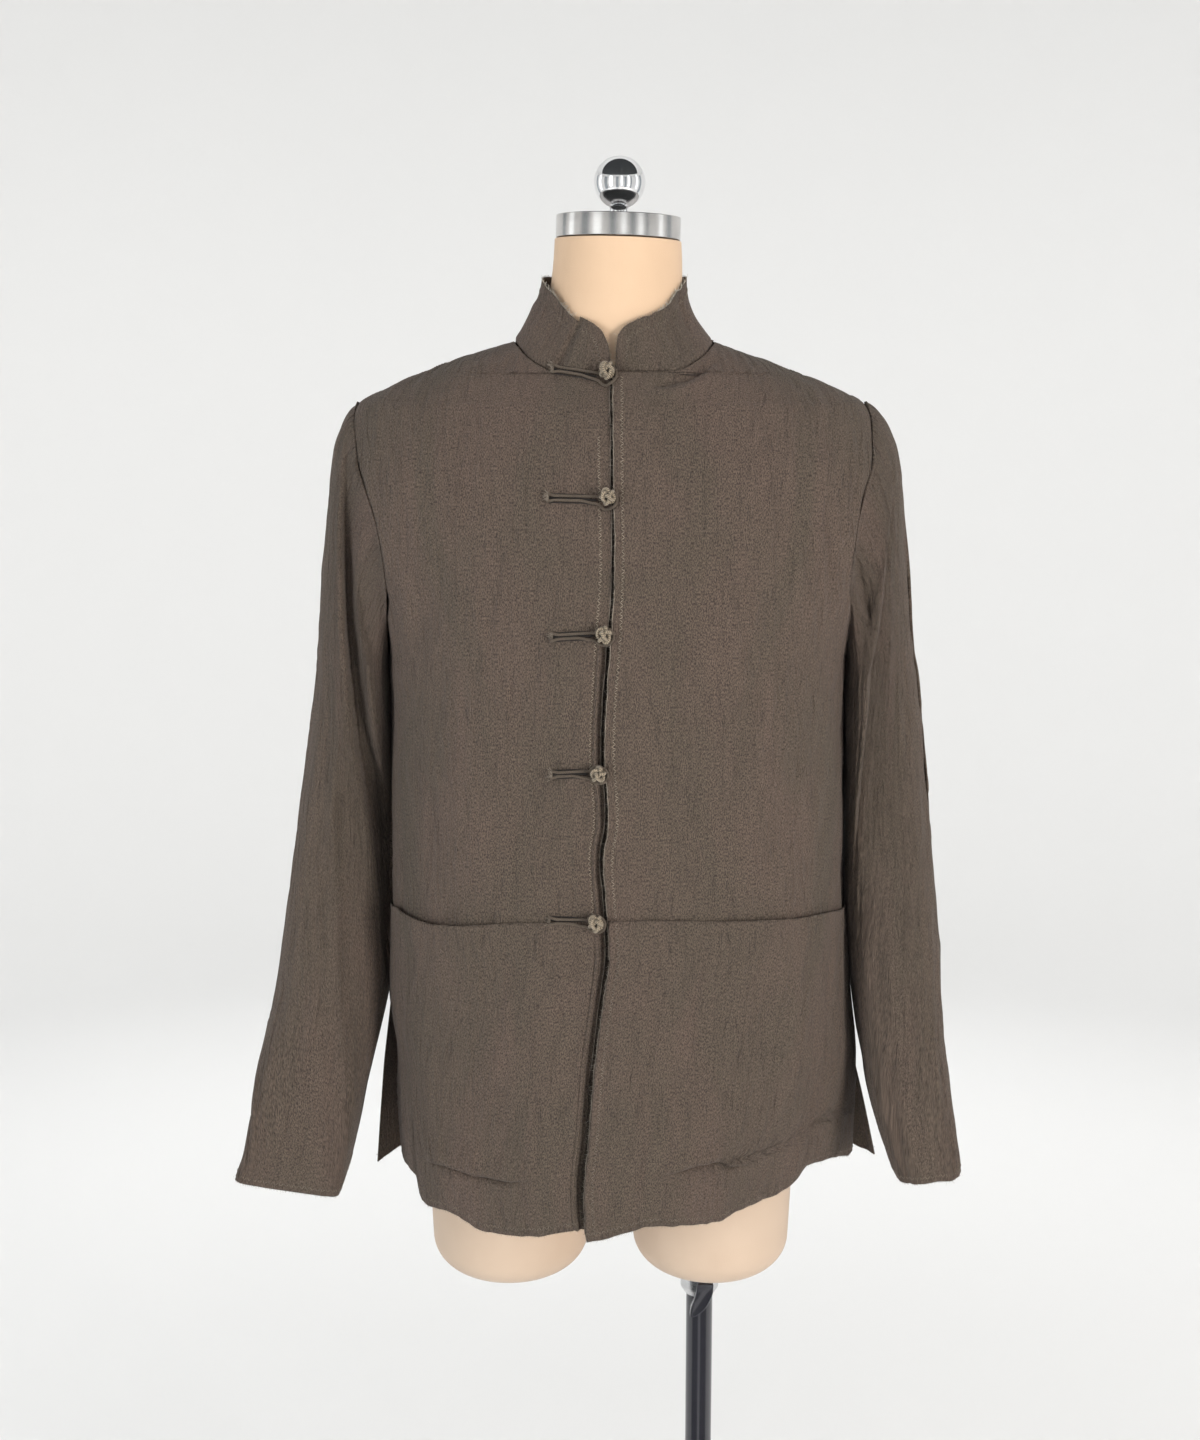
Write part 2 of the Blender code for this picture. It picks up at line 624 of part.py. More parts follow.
def collar_point(turn, share):
    """A point of the standing collar's outer face, share 0 at the seam and 1 at the top."""
    foot = neck_seam_point(turn)
    along, across = math.cos(turn), math.sin(turn)
    front = (along + 1) / 2
    rise = COLLAR_HEIGHT["side"] + max(along, 0) * (COLLAR_HEIGHT["front"] - COLLAR_HEIGHT["side"])
    rise += max(-along, 0) * (COLLAR_HEIGHT["back"] - COLLAR_HEIGHT["side"])
    depth = COLLAR_TOP_BACK + (COLLAR_TOP_FRONT - COLLAR_TOP_BACK) * front
    top = Vector((COLLAR_TOP_SIDE * across, -depth * along, rise))
    flare = COLLAR_CURVE[RIGHT if across > 0 else LEFT] - COLLAR_CURVE_MIDDLE
    lean = max(1 - share, 0) ** (COLLAR_CURVE_MIDDLE + flare * across**2)
    height = foot.z + (top.z - foot.z) * share + COLLAR_SEAT * (1 - share)
    point = top.lerp(foot, lean)
    return Vector((point.x, point.y, height))


def collar_grid():
    outside, inside = [], []
    first = math.asin(COLLAR_FRONT_GAP[RIGHT] / NECK_HALF_WIDTH)
    last = math.tau - math.asin(COLLAR_FRONT_GAP[LEFT] / NECK_HALF_WIDTH)
    for i in range(COLLAR_ROW_COUNT + 1):
        outer_row, inner_row = [], []
        for j in range(COLLAR_COLUMN_COUNT):
            even = j / (COLLAR_COLUMN_COUNT - 1)
            eased = even - COLLAR_EASE * math.sin(math.tau * even)
            turn = first + (last - first) * eased
            length = COLLAR_MEAN_RADIUS * min(turn - first, last - turn)
            inside_corner = 1 - min(length / COLLAR_CORNER, 1)
            tall = COLLAR_END_SHARE + (1 - COLLAR_END_SHARE) * math.sqrt(1 - inside_corner**2)
            share = i / COLLAR_ROW_COUNT * tall
            point = collar_point(turn, share)
            around = collar_point(turn + 0.02, share) - collar_point(turn - 0.02, share)
            up = collar_point(turn, min(share + 0.05, 1)) - collar_point(turn, max(share - 0.05, 0))
            normal = around.cross(up).normalized()
            outer_row.append(point)
            inner_row.append(point - normal * CLOTH)
        outside.append(outer_row)
        inside.append(inner_row)
    return outside, inside


# ---------------------------------------------------------------- pockets, knots, loops
def pocket_grid(side, panel):
    """A full-width patch pocket, made from the front panel's own points, moved out."""
    outside_panel, inside_panel = panel
    rows = [i for i, height in enumerate(BODY_ROWS) if height <= POCKET_MOUTH + 1e-6]
    outside, inside = [], []
    for i in rows:
        outer_row, inner_row = [], []
        for j in range(FRONT_COLUMN_COUNT):
            point = pocket_place(outside_panel[i], j, side, BODY_ROWS[i])
            under = pocket_place(inside_panel[i], j, side, BODY_ROWS[i])
            if i == 0:
                share = (POCKET_BOTTOM - BODY_ROWS[0]) / (BODY_ROWS[1] - BODY_ROWS[0])
                point = point.lerp(pocket_place(outside_panel[1], j, side, BODY_ROWS[1]), share)
                under = under.lerp(pocket_place(inside_panel[1], j, side, BODY_ROWS[1]), share)
            out = (point - under).normalized()
            gape = POCKET_GAPE * pocket_gape(j / (FRONT_COLUMN_COUNT - 1), BODY_ROWS[i])
            outer_row.append(point + out * (PANEL_CLEARANCE + gape + POCKET_CLOTH))
            inner_row.append(point + out * (PANEL_CLEARANCE + gape))
        outside.append(outer_row)
        inside.append(inner_row)
    return outside, inside


def pocket_place(row, j, side, height):
    """The panel's own point, drawn in a little at the row's two ends."""
    if j == 0 and side == LEFT:
        share = (row[0].x - edge_x(height) + POCKET_LAP_GAP) / (row[0].x - row[1].x)
        return row[0].lerp(row[1], share)
    if j == 0:
        return row[0].lerp(row[1], POCKET_INSET)
    if j == len(row) - 1:
        return row[-1].lerp(row[-2], POCKET_INSET)
    return row[j].copy()


def pocket_gape(across, height):
    """Share of the mouth's full gape, which is widest towards the side seam."""
    near_mouth = smoothstep(POCKET_MOUTH - 0.06, POCKET_MOUTH, height)
    return near_mouth * math.sin(math.pi * min(max((across - 0.45) / 0.55, 0), 1))


def knot_centre(height, x, raised):
    angle = angle_at(x, height)
    return body_point(angle, height) + body_normal(angle, height) * (KNOT_RADIUS + KNOT_STANDOFF + raised)


def add_knot(number, fastener, material):
    shape = bmesh.new()
    bmesh.ops.create_uvsphere(shape, u_segments=10, v_segments=7, radius=KNOT_RADIUS)
    centre = knot_centre(fastener["height"], fastener["x"], fastener["raised"])
    place = Matrix.Translation(centre) @ Matrix.Rotation(math.radians(90), 4, "X")
    shape.transform(place)
    return add_object("knot_" + str(number), shape, material)


def loop_route(fastener):
    """The doubled cord's middle line: out, round the knot and back again."""
    half = LOOP_CORD_SPACING / 2
    arm = (-fastener["reach"], *LOOP_ARM)
    route = [(across, half, 0.0) for across in arm]
    for k in range(9):
        turn = math.radians(180 - LOOP_OPENING) * (1 - k / 4)
        lift = LAP_RISE * smoothstep(-1.0, -0.1, math.cos(turn))
        route.append((LOOP_RING_RADIUS * math.cos(turn), LOOP_RING_RADIUS * math.sin(turn), lift))
    route += [(across, -half, 0.0) for across in reversed(arm)]
    points = []
    for across, up, lift in route:
        slope = fastener["slope"] * min(across + 0.008, 0)
        z = fastener["height"] - fastener["drop"] + up - slope
        angle = angle_at(fastener["x"] + across, z)
        out = PANEL_CLEARANCE + LOOP_CORD_RADIUS + lift + fastener["raised"]
        points.append(body_point(angle, z) + body_normal(angle, z) * out)
    return points


def add_loop(number, fastener, material):
    points = loop_route(fastener)
    rings = []
    for i, point in enumerate(points):
        before, after = points[max(i - 1, 0)], points[min(i + 1, len(points) - 1)]
        ahead = (after - before).normalized()
        out = Vector((0, -1, 0))
        beside = ahead.cross(out).normalized()
        out = beside.cross(ahead)
        rings.append([
            point + (out * math.cos(math.tau * k / LOOP_SEGMENTS)
                     + beside * math.sin(math.tau * k / LOOP_SEGMENTS)) * LOOP_CORD_RADIUS
            for k in range(LOOP_SEGMENTS)
        ])
    return add_object("loop_" + str(number), loft(rings), material)


# ---------------------------------------------------------------- dress form and stand
def form_size(name, height):
    return smooth_value(FORM_SECTIONS, FORM_COLUMNS, name, height)


def form_point(turn, height):
    """A point of the torso's skin, with 0 at the front."""
    depth = form_size("front" if math.cos(turn) >= 0 else "back", height)
    square = 2.0 + 0.25 * (1 - smoothstep(1.42, 1.50, height)) * smoothstep(0.80, 0.95, height)
    x = form_size("half_width", height) * rounded(math.sin(turn), 2 / square)
    x += NECK_X * smoothstep(NECK_SHIFT_FROM, 1.56, height)
    lean = -math.tan(CAP_TILT) * (x - NECK_X) * smoothstep(1.57, FORM_SECTIONS[-1][0], height)
    return Vector((x, -depth * rounded(math.cos(turn), 2 / square), height + lean))


def stub_rings(side):
    """A short rounded thigh, from its flat underside up into the torso."""
    rings = []
    levels = []
    for k in range(4):
        turn = math.radians(30 * k)
        levels.append((STUB_BOTTOM + STUB_EDGE * (1 - math.cos(turn)), STUB_EDGE * (1 - math.sin(turn))))
    levels += [(STUB_BOTTOM + 0.06, -0.001), (STUB_TOP, -0.003)]
    for height, drawn_in in levels:
        rings.append([
            Vector((
                STUB_X[side] + (STUB_HALF_WIDTH - drawn_in) * math.cos(math.tau * j / STUB_SEGMENTS),
                (STUB_HALF_DEPTH - drawn_in) * math.sin(math.tau * j / STUB_SEGMENTS),
                height,
            ))
            for j in range(STUB_SEGMENTS)
        ])
    return rings


def add_form(material):
    levels = sorted({row[0] for row in FORM_SECTIONS})
    rings = [
        [form_point(math.tau * j / FORM_SEGMENTS, height) for j in range(FORM_SEGMENTS)]
        for height in levels
    ]
    torso = add_object("form_body", loft(rings), material)
    for side, name in ((LEFT, "stub_left"), (RIGHT, "stub_right")):
        stub = add_object(name, loft(stub_rings(side)), material)
        stub.hide_render = True
        stub.display_type = "WIRE"
        join = torso.modifiers.new("join_" + name, "BOOLEAN")
        join.operation = "UNION"
        join.object = stub
    return torso


def tilt_about_neck(thing):
    """Leans a piece with the neck's slightly sloping top."""
    centre = Vector((NECK_X, 0, FORM_SECTIONS[-1][0]))
    turn = Matrix.Rotation(CAP_TILT, 4, "Y")
    thing.data.transform(Matrix.Translation(centre) @ turn @ Matrix.Translation(-centre))


def add_neck_cap(material):
    low = FORM_SECTIONS[-1][0] + PART_GAP
    high = low + CAP_THICKNESS
    profile = (
        (CAP_RADIUS - CAP_CHAMFER, low),
        (CAP_RADIUS, low + CAP_CHAMFER),
        (CAP_RADIUS, high - CAP_CHAMFER),
        (CAP_RADIUS - CAP_CHAMFER, high),
    )
    cap = turned("neck_cap", profile, (NECK_X, 0), material)
    tilt_about_neck(cap)


def add_finial(material):
    low = FORM_SECTIONS[-1][0] + 2 * PART_GAP + CAP_THICKNESS
    profile = [(BALL_SHANK_RADIUS, low)]
    first = math.asin(BALL_SHANK_RADIUS / BALL_RADIUS)
    steps = 11
    for k in range(steps):
        turn = first + (math.pi - first) * k / steps
        profile.append((BALL_RADIUS * math.sin(turn), BALL_HEIGHT - BALL_RADIUS * math.cos(turn)))
    profile.append((0, BALL_HEIGHT + BALL_RADIUS))
    finial = turned("finial", profile, (NECK_X, 0), material, 28)
    tilt_about_neck(finial)


def add_socket(material):
    top = STUB_BOTTOM - PART_GAP
    profile = (
        (POLE_RADIUS + 0.0006, SOCKET_BOTTOM),
        (SOCKET_RADIUS, SOCKET_BOTTOM + SOCKET_CHAMFER),
        (SOCKET_RADIUS, top),
    )
    turned("leg_socket", profile, (POLE_X, 0), material)


def add_pole(material):
    low = BASE_THICKNESS + PART_GAP
    profile = (
        (POLE_FLANGE_RADIUS, low),
        (POLE_FLANGE_RADIUS, low + POLE_FLANGE_HEIGHT - 0.002),
        (POLE_FLANGE_RADIUS - 0.002, low + POLE_FLANGE_HEIGHT),
        (POLE_RADIUS, low + POLE_FLANGE_HEIGHT + 0.003),
        (POLE_RADIUS, SOCKET_BOTTOM - PART_GAP),
    )
    turned("pole", profile, (POLE_X, 0), material)


def add_base(material):
    profile = (
        (BASE_RADIUS - 0.001, 0),
        (BASE_RADIUS, 0.001),
        (BASE_RADIUS, BASE_THICKNESS - BASE_CHAMFER),
        (BASE_RADIUS - BASE_CHAMFER, BASE_THICKNESS),
    )
    turned("base", profile, (0, 0), material, 64)


def add_lever(material):
    """The clamp lever: a hub on the socket's screw and a blade that leans to the left."""
    back_y = -SOCKET_RADIUS - PART_GAP
    outline = []
    for k in range(9):
        turn = math.radians(180 * k / 8)
        outline.append((LEVER_HUB_RADIUS * math.cos(turn), LEVER_HUB_RADIUS * math.sin(turn)))
    outline += [(-LEVER_TIP_HALF_WIDTH - 0.001, -LEVER_LENGTH * 0.8), (-LEVER_TIP_HALF_WIDTH + 0.001, -LEVER_LENGTH)]
    outline += [(LEVER_TIP_HALF_WIDTH - 0.001, -LEVER_LENGTH), (LEVER_TIP_HALF_WIDTH + 0.001, -LEVER_LENGTH * 0.8)]
    lean = Matrix.Rotation(LEVER_LEAN, 4, "Y")
    rings = []
    for depth in (back_y, back_y - LEVER_HUB_DEPTH):
        rings.append([lean @ Vector((x, depth, z)) for x, z in outline])
    shape = loft(rings)
    lever = add_object("clamp_lever", shape, material)
    lever.location = (LEVER_PIVOT.x, 0, LEVER_PIVOT.z)


# ---------------------------------------------------------------- build
def main():
    for thing in list(bpy.data.objects):
        bpy.data.objects.remove(thing)

    cloth = make_material("olive_brown_cloth", (0.120, 0.098, 0.080), 0.85)
    cord = make_material("tan_cord", (0.300, 0.240, 0.170), 0.80)
    cream = make_material("cream_cloth", (0.800, 0.650, 0.480), 0.80)
    steel = make_material("brushed_steel", (0.620, 0.600, 0.580), 0.35, 1.0)
    chrome = make_material("chrome", (0.800, 0.800, 0.800), 0.08, 1.0)
    black = make_material("black_paint", (0.030, 0.030, 0.036), 0.40)

    for side, name in ((LEFT, "left"), (RIGHT, "right")):
        panel = front_grid(side)
        add_wall("front_" + name, *panel, cloth)
        add_wall("pocket_" + name, *pocket_grid(side, panel), cloth)
        add_wall("sleeve_" + name, *sleeve_grid(side), cloth, wraps=True)
    add_wall("back", *back_grid(), cloth)
    add_wall("collar", *collar_grid(), cloth)
    for number, row in enumerate(FASTENERS, 1):
        fastener = dict(zip(FASTENER_COLUMNS, row))
        add_knot(number, fastener, cord)
        add_loop(number, fastener, cloth)

    add_form(cream)
    add_neck_cap(steel)
    add_finial(chrome)
    add_socket(steel)
    add_lever(black)
    add_pole(black)
    add_base(black)


main()
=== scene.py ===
# %% [markdown]
# # A tang jacket on its dress form
#
# A tang jacket is a plain, straight-cut jacket with a stand collar, closed by balls of knotted
# cord that sit in cord loops. This one is sewn from washed, slightly crinkled cotton with raw,
# frayed edges. It hangs on a cloth-covered form that stands on a clamped pole.
#
# The lesson rebuilds each piece as fine cloth on the shape of its construction solid. Every
# surface comes from a few named sizes, and the folds are added one by one.

# %% Load the construction frame
import json
import math

import bmesh
import bpy
import numpy as np
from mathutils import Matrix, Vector

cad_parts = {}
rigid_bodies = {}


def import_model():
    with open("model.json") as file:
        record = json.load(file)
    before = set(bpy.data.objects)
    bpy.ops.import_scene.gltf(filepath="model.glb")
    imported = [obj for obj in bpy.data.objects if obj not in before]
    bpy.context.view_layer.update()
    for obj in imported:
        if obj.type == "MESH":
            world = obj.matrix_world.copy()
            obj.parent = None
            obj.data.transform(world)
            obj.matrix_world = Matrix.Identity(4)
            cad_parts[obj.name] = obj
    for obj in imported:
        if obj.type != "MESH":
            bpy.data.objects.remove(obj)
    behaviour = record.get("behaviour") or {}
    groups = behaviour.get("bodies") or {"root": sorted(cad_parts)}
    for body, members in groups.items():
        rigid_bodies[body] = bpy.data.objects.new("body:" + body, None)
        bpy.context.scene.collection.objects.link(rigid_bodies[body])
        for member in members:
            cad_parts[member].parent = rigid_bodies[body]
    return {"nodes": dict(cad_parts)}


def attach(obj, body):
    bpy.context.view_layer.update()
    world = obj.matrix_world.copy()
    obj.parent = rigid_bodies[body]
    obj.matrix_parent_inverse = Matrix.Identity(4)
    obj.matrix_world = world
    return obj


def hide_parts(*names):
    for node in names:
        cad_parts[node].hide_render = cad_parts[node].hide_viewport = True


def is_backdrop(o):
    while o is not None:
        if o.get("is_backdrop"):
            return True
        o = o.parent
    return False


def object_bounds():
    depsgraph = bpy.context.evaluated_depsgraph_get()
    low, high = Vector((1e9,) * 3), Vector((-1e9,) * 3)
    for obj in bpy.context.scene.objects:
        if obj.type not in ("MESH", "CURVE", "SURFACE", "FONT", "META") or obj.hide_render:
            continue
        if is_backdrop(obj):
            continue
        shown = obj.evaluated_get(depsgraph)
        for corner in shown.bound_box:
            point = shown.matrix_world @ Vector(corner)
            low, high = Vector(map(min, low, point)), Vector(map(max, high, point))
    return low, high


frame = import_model()
first_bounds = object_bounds()
LEFT, RIGHT = -1, 1
SIDE_NAMES = {LEFT: "left", RIGHT: "right"}
print("construction nodes:", len(frame["nodes"]), "bounds:", first_bounds)


# %% [markdown]
# ## Tools for shapes worked out with numbers
#
# NumPy works on whole grids of points at once, which is fast enough to give cloth a point every
# few millimetres. A smooth curve through a short table replaces long lists of points, and a
# smooth random field gives crinkles that never repeat, with a fixed seed so that each run agrees.

# %% Curves, noise and creases
def smoothstep(low, high, value):
    t = np.clip((value - low) / (high - low), 0, 1)
    return t * t * (3 - 2 * t)


def smooth_curve(places, values, at):
    """A curve through a table's points that never swings past them."""
    places, values = np.asarray(places, float), np.asarray(values, float)
    steps = np.diff(places)
    rises = np.diff(values) / steps
    slopes = np.zeros(len(places))
    slopes[0], slopes[-1] = rises[0], rises[-1]
    before, after = rises[:-1], rises[1:]
    turning = before * after <= 0
    total = np.where(turning, 1, before + after)
    slopes[1:-1] = np.where(turning, 0, 2 * before * after / total)
    at = np.clip(at, places[0], places[-1])
    low = np.clip(np.searchsorted(places, at, side="right") - 1, 0, len(places) - 2)
    t = (at - places[low]) / steps[low]
    return (
        values[low] * (2 * t**3 - 3 * t**2 + 1) + slopes[low] * steps[low] * (t**3 - 2 * t**2 + t)
        + values[low + 1] * (3 * t**2 - 2 * t**3) + slopes[low + 1] * steps[low] * (t**3 - t**2)
    )


def table_column(rows, columns, name, at):
    place = columns.index(name)
    return smooth_curve([row[0] for row in rows], [row[place] for row in rows], at)


def noise(across, along, seed):
    """Smooth random values from -1 to 1 whose bumps are about one unit wide."""
    lattice = np.random.default_rng(seed).uniform(-1, 1, (128, 128))
    column, row = np.floor(across).astype(int), np.floor(along).astype(int)
    u, v = across - column, along - row
    u, v = u * u * u * (u * (u * 6 - 15) + 10), v * v * v * (v * (v * 6 - 15) + 10)
    corner = lambda i, j: lattice[(column + i) % 128, (row + j) % 128]
    low = corner(0, 0) * (1 - u) + corner(1, 0) * u
    high = corner(0, 1) * (1 - u) + corner(1, 1) * u
    return low * (1 - v) + high * v


def waver(along, scale, seed):
    """Smooth random values from -1 to 1 along a line, with bumps about as long as the scale."""
    return noise(along / scale, along * 0, seed)


def crinkle(across, along, seed, wide=0.011, tall=0.055):
    """Washed cotton's soft crinkles: long narrow ridges that wander and fork."""
    bend = 0.9 * noise(across / 0.05, along / 0.05, seed + 1)
    first = noise(across / wide + bend, along / tall + 0.4 * bend, seed + 2)
    second = noise(across / (0.55 * wide) - bend, along / (0.5 * tall), seed + 3)
    ridge = 1 - 2 * np.abs(first)
    return 0.6 * ridge + 0.4 * second


# %% One crease along a line of points
def crease(x, z, points, width, lean=1.0, fade=0.25):
    """Height of a ridge along a line of (x, z) points, 1 at its middle and fading at its ends.

    lean is how much wider the ridge is on its left, seen along the line.
    """
    points = np.asarray(points, float)
    lengths = np.hypot(*np.diff(points, axis=0).T)
    starts = np.concatenate([[0], np.cumsum(lengths)])
    best = np.full(x.shape, 1e9)
    signed, along = np.zeros(x.shape), np.zeros(x.shape)
    for start, end, length, done in zip(points, points[1:], lengths, starts):
        direction = (end - start) / length
        out_x, out_z = x - start[0], z - start[1]
        t = np.clip(out_x * direction[0] + out_z * direction[1], 0, length)
        gap = np.hypot(out_x - t * direction[0], out_z - t * direction[1])
        nearer = gap < best
        best = np.where(nearer, gap, best)
        signed = np.where(nearer, np.sign(direction[0] * out_z - direction[1] * out_x), signed)
        along = np.where(nearer, (done + t) / starts[-1], along)
    reach = np.where(signed > 0, width * lean, width)
    ends = smoothstep(0, fade, along) * smoothstep(0, fade, 1 - along)
    return np.exp(-((best / reach) ** 2)) * ends


example = crease(np.array([0.0, 0.01]), np.array([0.5, 0.5]), ((0, 0), (0, 1)), 0.01)
print("a crease 10 mm wide, at its line and 10 mm away:", example.round(3))


# %% [markdown]
# ## Making a sheet of cloth
#
# Cloth is a thin shell: an outer face, an inner face a millimetre below it, and a narrow rim
# that joins them. The same function makes every panel from a grid of points. It also gives each
# panel a UV map measured in metres, so the weave has the same size on every piece.

# %% Normals and lengths of a grid of points
CLOTH_THICKNESS = 0.0011
print("cloth thickness in mm:", 1000 * CLOTH_THICKNESS)


def grid_normals(points, facing, wraps=False):
    """Unit normals of a grid; facing is 1 or -1 and turns them outwards."""
    if wraps:
        along = np.roll(points, -1, 1) - np.roll(points, 1, 1)
    else:
        along = np.gradient(points, axis=1)
    up = np.gradient(points, axis=0)
    normals = np.cross(along, up) * facing
    return normals / np.maximum(np.linalg.norm(normals, axis=2, keepdims=True), 1e-12)


def grid_lengths(points):
    """Distances in metres along each row and each column of a grid."""
    rows, columns = points.shape[:2]
    across, along = np.zeros((rows, columns)), np.zeros((rows, columns))
    across[:, 1:] = np.cumsum(np.linalg.norm(np.diff(points, axis=1), axis=2), axis=1)
    along[1:] = np.cumsum(np.linalg.norm(np.diff(points, axis=0), axis=2), axis=0)
    return across, along


# %% A mesh object from arrays
def place_in_scene(name, data):
    """A new object with the given data, linked to the scene."""
    thing = bpy.data.objects.new(name, data)
    bpy.context.scene.collection.objects.link(thing)
    return thing


def mesh_from_arrays(name, corners, faces, material, uvs=None):
    """A smooth-shaded mesh object from an array of corners and one of four-sided faces."""
    mesh = bpy.data.meshes.new(name)
    mesh.vertices.add(len(corners))
    mesh.vertices.foreach_set("co", corners.astype(np.float32).ravel())
    mesh.loops.add(faces.size)
    mesh.loops.foreach_set("vertex_index", faces.astype(np.int32).ravel())
    mesh.polygons.add(len(faces))
    mesh.polygons.foreach_set("loop_start", np.arange(0, faces.size, faces.shape[1], dtype=np.int32))
    if uvs is not None:
        layer = mesh.uv_layers.new(name="cloth_metres")
        layer.data.foreach_set("uv", uvs.astype(np.float32).ravel())
    mesh.update(calc_edges=True)
    mesh.polygons.foreach_set("use_smooth", np.ones(len(faces), bool))
    mesh.materials.append(material)
    return place_in_scene(name, mesh)


# %% The shell function
def cloth_shell(name, points, facing, material, wraps=False, uv=None):
    """A closed thin shell whose outer face is the grid of points."""
    rows, columns = points.shape[:2]
    normals = grid_normals(points, facing, wraps)
    inner = points - normals * CLOTH_THICKNESS
    across, along = grid_lengths(points) if uv is None else uv
    number = np.arange(rows * columns).reshape(rows, columns)
    if wraps:
        number = np.hstack([number, number[:, :1]])
        across = np.hstack([across, across[:, -1:] + across[:, 1:2]])
        along = np.hstack([along, along[:, :1]])
    under = number + rows * columns
    corner_a, corner_b = (slice(None, -1), slice(None, -1)), (slice(None, -1), slice(1, None))
    corner_c, corner_d = (slice(1, None), slice(1, None)), (slice(1, None), slice(None, -1))
    ring = (corner_a, corner_b, corner_c, corner_d)[::1 if facing > 0 else -1]
    faces, uvs = [], []
    for layer, corners_of_face in ((number, ring), (under, ring[::-1])):
        faces.append(np.stack([layer[c].ravel() for c in corners_of_face], axis=1))
        uvs.append(np.stack([np.stack([across[c].ravel(), along[c].ravel()], 1) for c in corners_of_face], 1))
    edges = [(number[0], under[0], across[0], along[0], facing)]
    edges.append((number[-1], under[-1], across[-1], along[-1], -facing))
    if not wraps:
        edges.append((number[:, 0], under[:, 0], across[:, 0], along[:, 0], -facing))
        edges.append((number[:, -1], under[:, -1], across[:, -1], along[:, -1], facing))
    for top, bottom, place, height, way in edges:
        quad = np.stack([top[1:], top[:-1], bottom[:-1], bottom[1:]], 1)
        spots = np.stack([np.stack([place[s], height[s]], 1) for s in
                          (slice(1, None), slice(None, -1), slice(None, -1), slice(1, None))], 1)
        if way < 0:
            quad, spots = quad[:, ::-1], spots[:, ::-1]
        faces.append(quad)
        uvs.append(spots)
    corners = np.vstack([points.reshape(-1, 3), inner.reshape(-1, 3)])
    return mesh_from_arrays(name, corners, np.vstack(faces), material, np.vstack(uvs))


# %% [markdown]
# ## The jacket's body
#
# The body is cut straight, with three panels that meet at the shoulders and the side seams. Its
# level sections are rounded rectangles. Each row of the table gives one of them, and the panels
# are stretches of the same surface, so they meet at their seams without being fitted.

# %% Sizes of the body
HEM_HEIGHT, UNDERARM_HEIGHT, SHOULDER_TIP_HEIGHT = 0.814, 1.275, 1.486
FRONT_NECK_HEIGHT, NECK_HEIGHT, NECK_HALF_WIDTH = 1.509, 1.536, 0.083
VENT_TOP = {LEFT: 0.985, RIGHT: 0.920}
BODY_COLUMNS = ("height", "left", "right", "front", "back", "square_left", "square_right")
BODY_SECTIONS = (
    (0.814, 0.1900, 0.2120, 0.1380, 0.1170, 2.2, 1.35),
    (0.870, 0.1925, 0.2125, 0.1370, 0.1150, 2.3, 1.60),
    (0.920, 0.1940, 0.2110, 0.1360, 0.1120, 2.3, 1.90),
    (0.985, 0.1940, 0.2040, 0.1335, 0.1080, 2.3, 2.1),
    (1.060, 0.1925, 0.1985, 0.1310, 0.1050, 2.3, 2.2),
    (1.150, 0.1910, 0.1950, 0.1310, 0.1070, 2.3, 2.3),
    (1.240, 0.1895, 0.1940, 0.1340, 0.1150, 2.3, 2.3),
    (1.275, 0.1900, 0.1945, 0.1360, 0.1190, 2.3, 2.3),
    (1.320, 0.2010, 0.2060, 0.1350, 0.1220, 2.3, 2.3),
    (1.380, 0.2220, 0.2260, 0.1280, 0.1200, 2.2, 2.2),
    (1.430, 0.2290, 0.2290, 0.1150, 0.1140, 2.2, 2.2),
    (1.465, 0.2220, 0.2190, 0.1010, 0.1070, 2.1, 2.1),
    (1.486, 0.2120, 0.2065, 0.0895, 0.1000, 2.1, 2.1),
    (1.4975, 0.1905, 0.1845, 0.0825, 0.0950, 2.0, 2.0),
    (1.509, 0.1640, 0.1560, 0.0755, 0.0890, 2.0, 2.0),
    (1.5225, 0.1290, 0.1200, 0.0660, 0.0800, 2.0, 2.0),
    (1.536, 0.0840, 0.0815, 0.0570, 0.0680, 2.0, 2.0),
)
NECK_COLUMNS = ("height", "half_width")
NECK_SEAM = (
    (1.5090, 0.0000),
    (1.5108, 0.0480),
    (1.5175, 0.0630),
    (1.5260, 0.0740),
    (1.5320, 0.0795),
    (1.5360, NECK_HALF_WIDTH),
)
ARMHOLE_SWEEP, ARMHOLE_ROUNDNESS = 33.0, 0.6
EDGE_COLUMNS = ("height", "x")
FRONT_EDGE = (                      # the right front's raw edge wanders a little
    (0.807, -0.0212),
    (0.827, -0.0243),
    (0.852, -0.0249),
    (0.893, -0.0210),
    (0.950, -0.0169),
    (0.990, -0.0120),
    (1.024, -0.0074),
    (1.045, -0.0046),
    (1.085, -0.0064),
    (1.128, -0.0088),
    (1.160, -0.0049),
    (1.217, -0.0080),
    (1.270, -0.0058),
    (1.312, -0.0028),
    (1.366, -0.0003),
    (1.412, -0.0010),
    (1.509, -0.0018),
)
UNDERLAP, LAP_RISE, LAP_REACH = 0.012, 0.0034, 0.075
BACK_FLARE, BACK_FLARE_Y, FLAP_WIDTH = {LEFT: 0.023, RIGHT: 0.024}, 0.022, 0.040
FLAP_RISE = {LEFT: -0.0035, RIGHT: 0.0030}
FRONT_TUCK = 0.0055                 # how far the left front's free side swings in below its vent
HEM_COLUMNS = ("x", "rise")
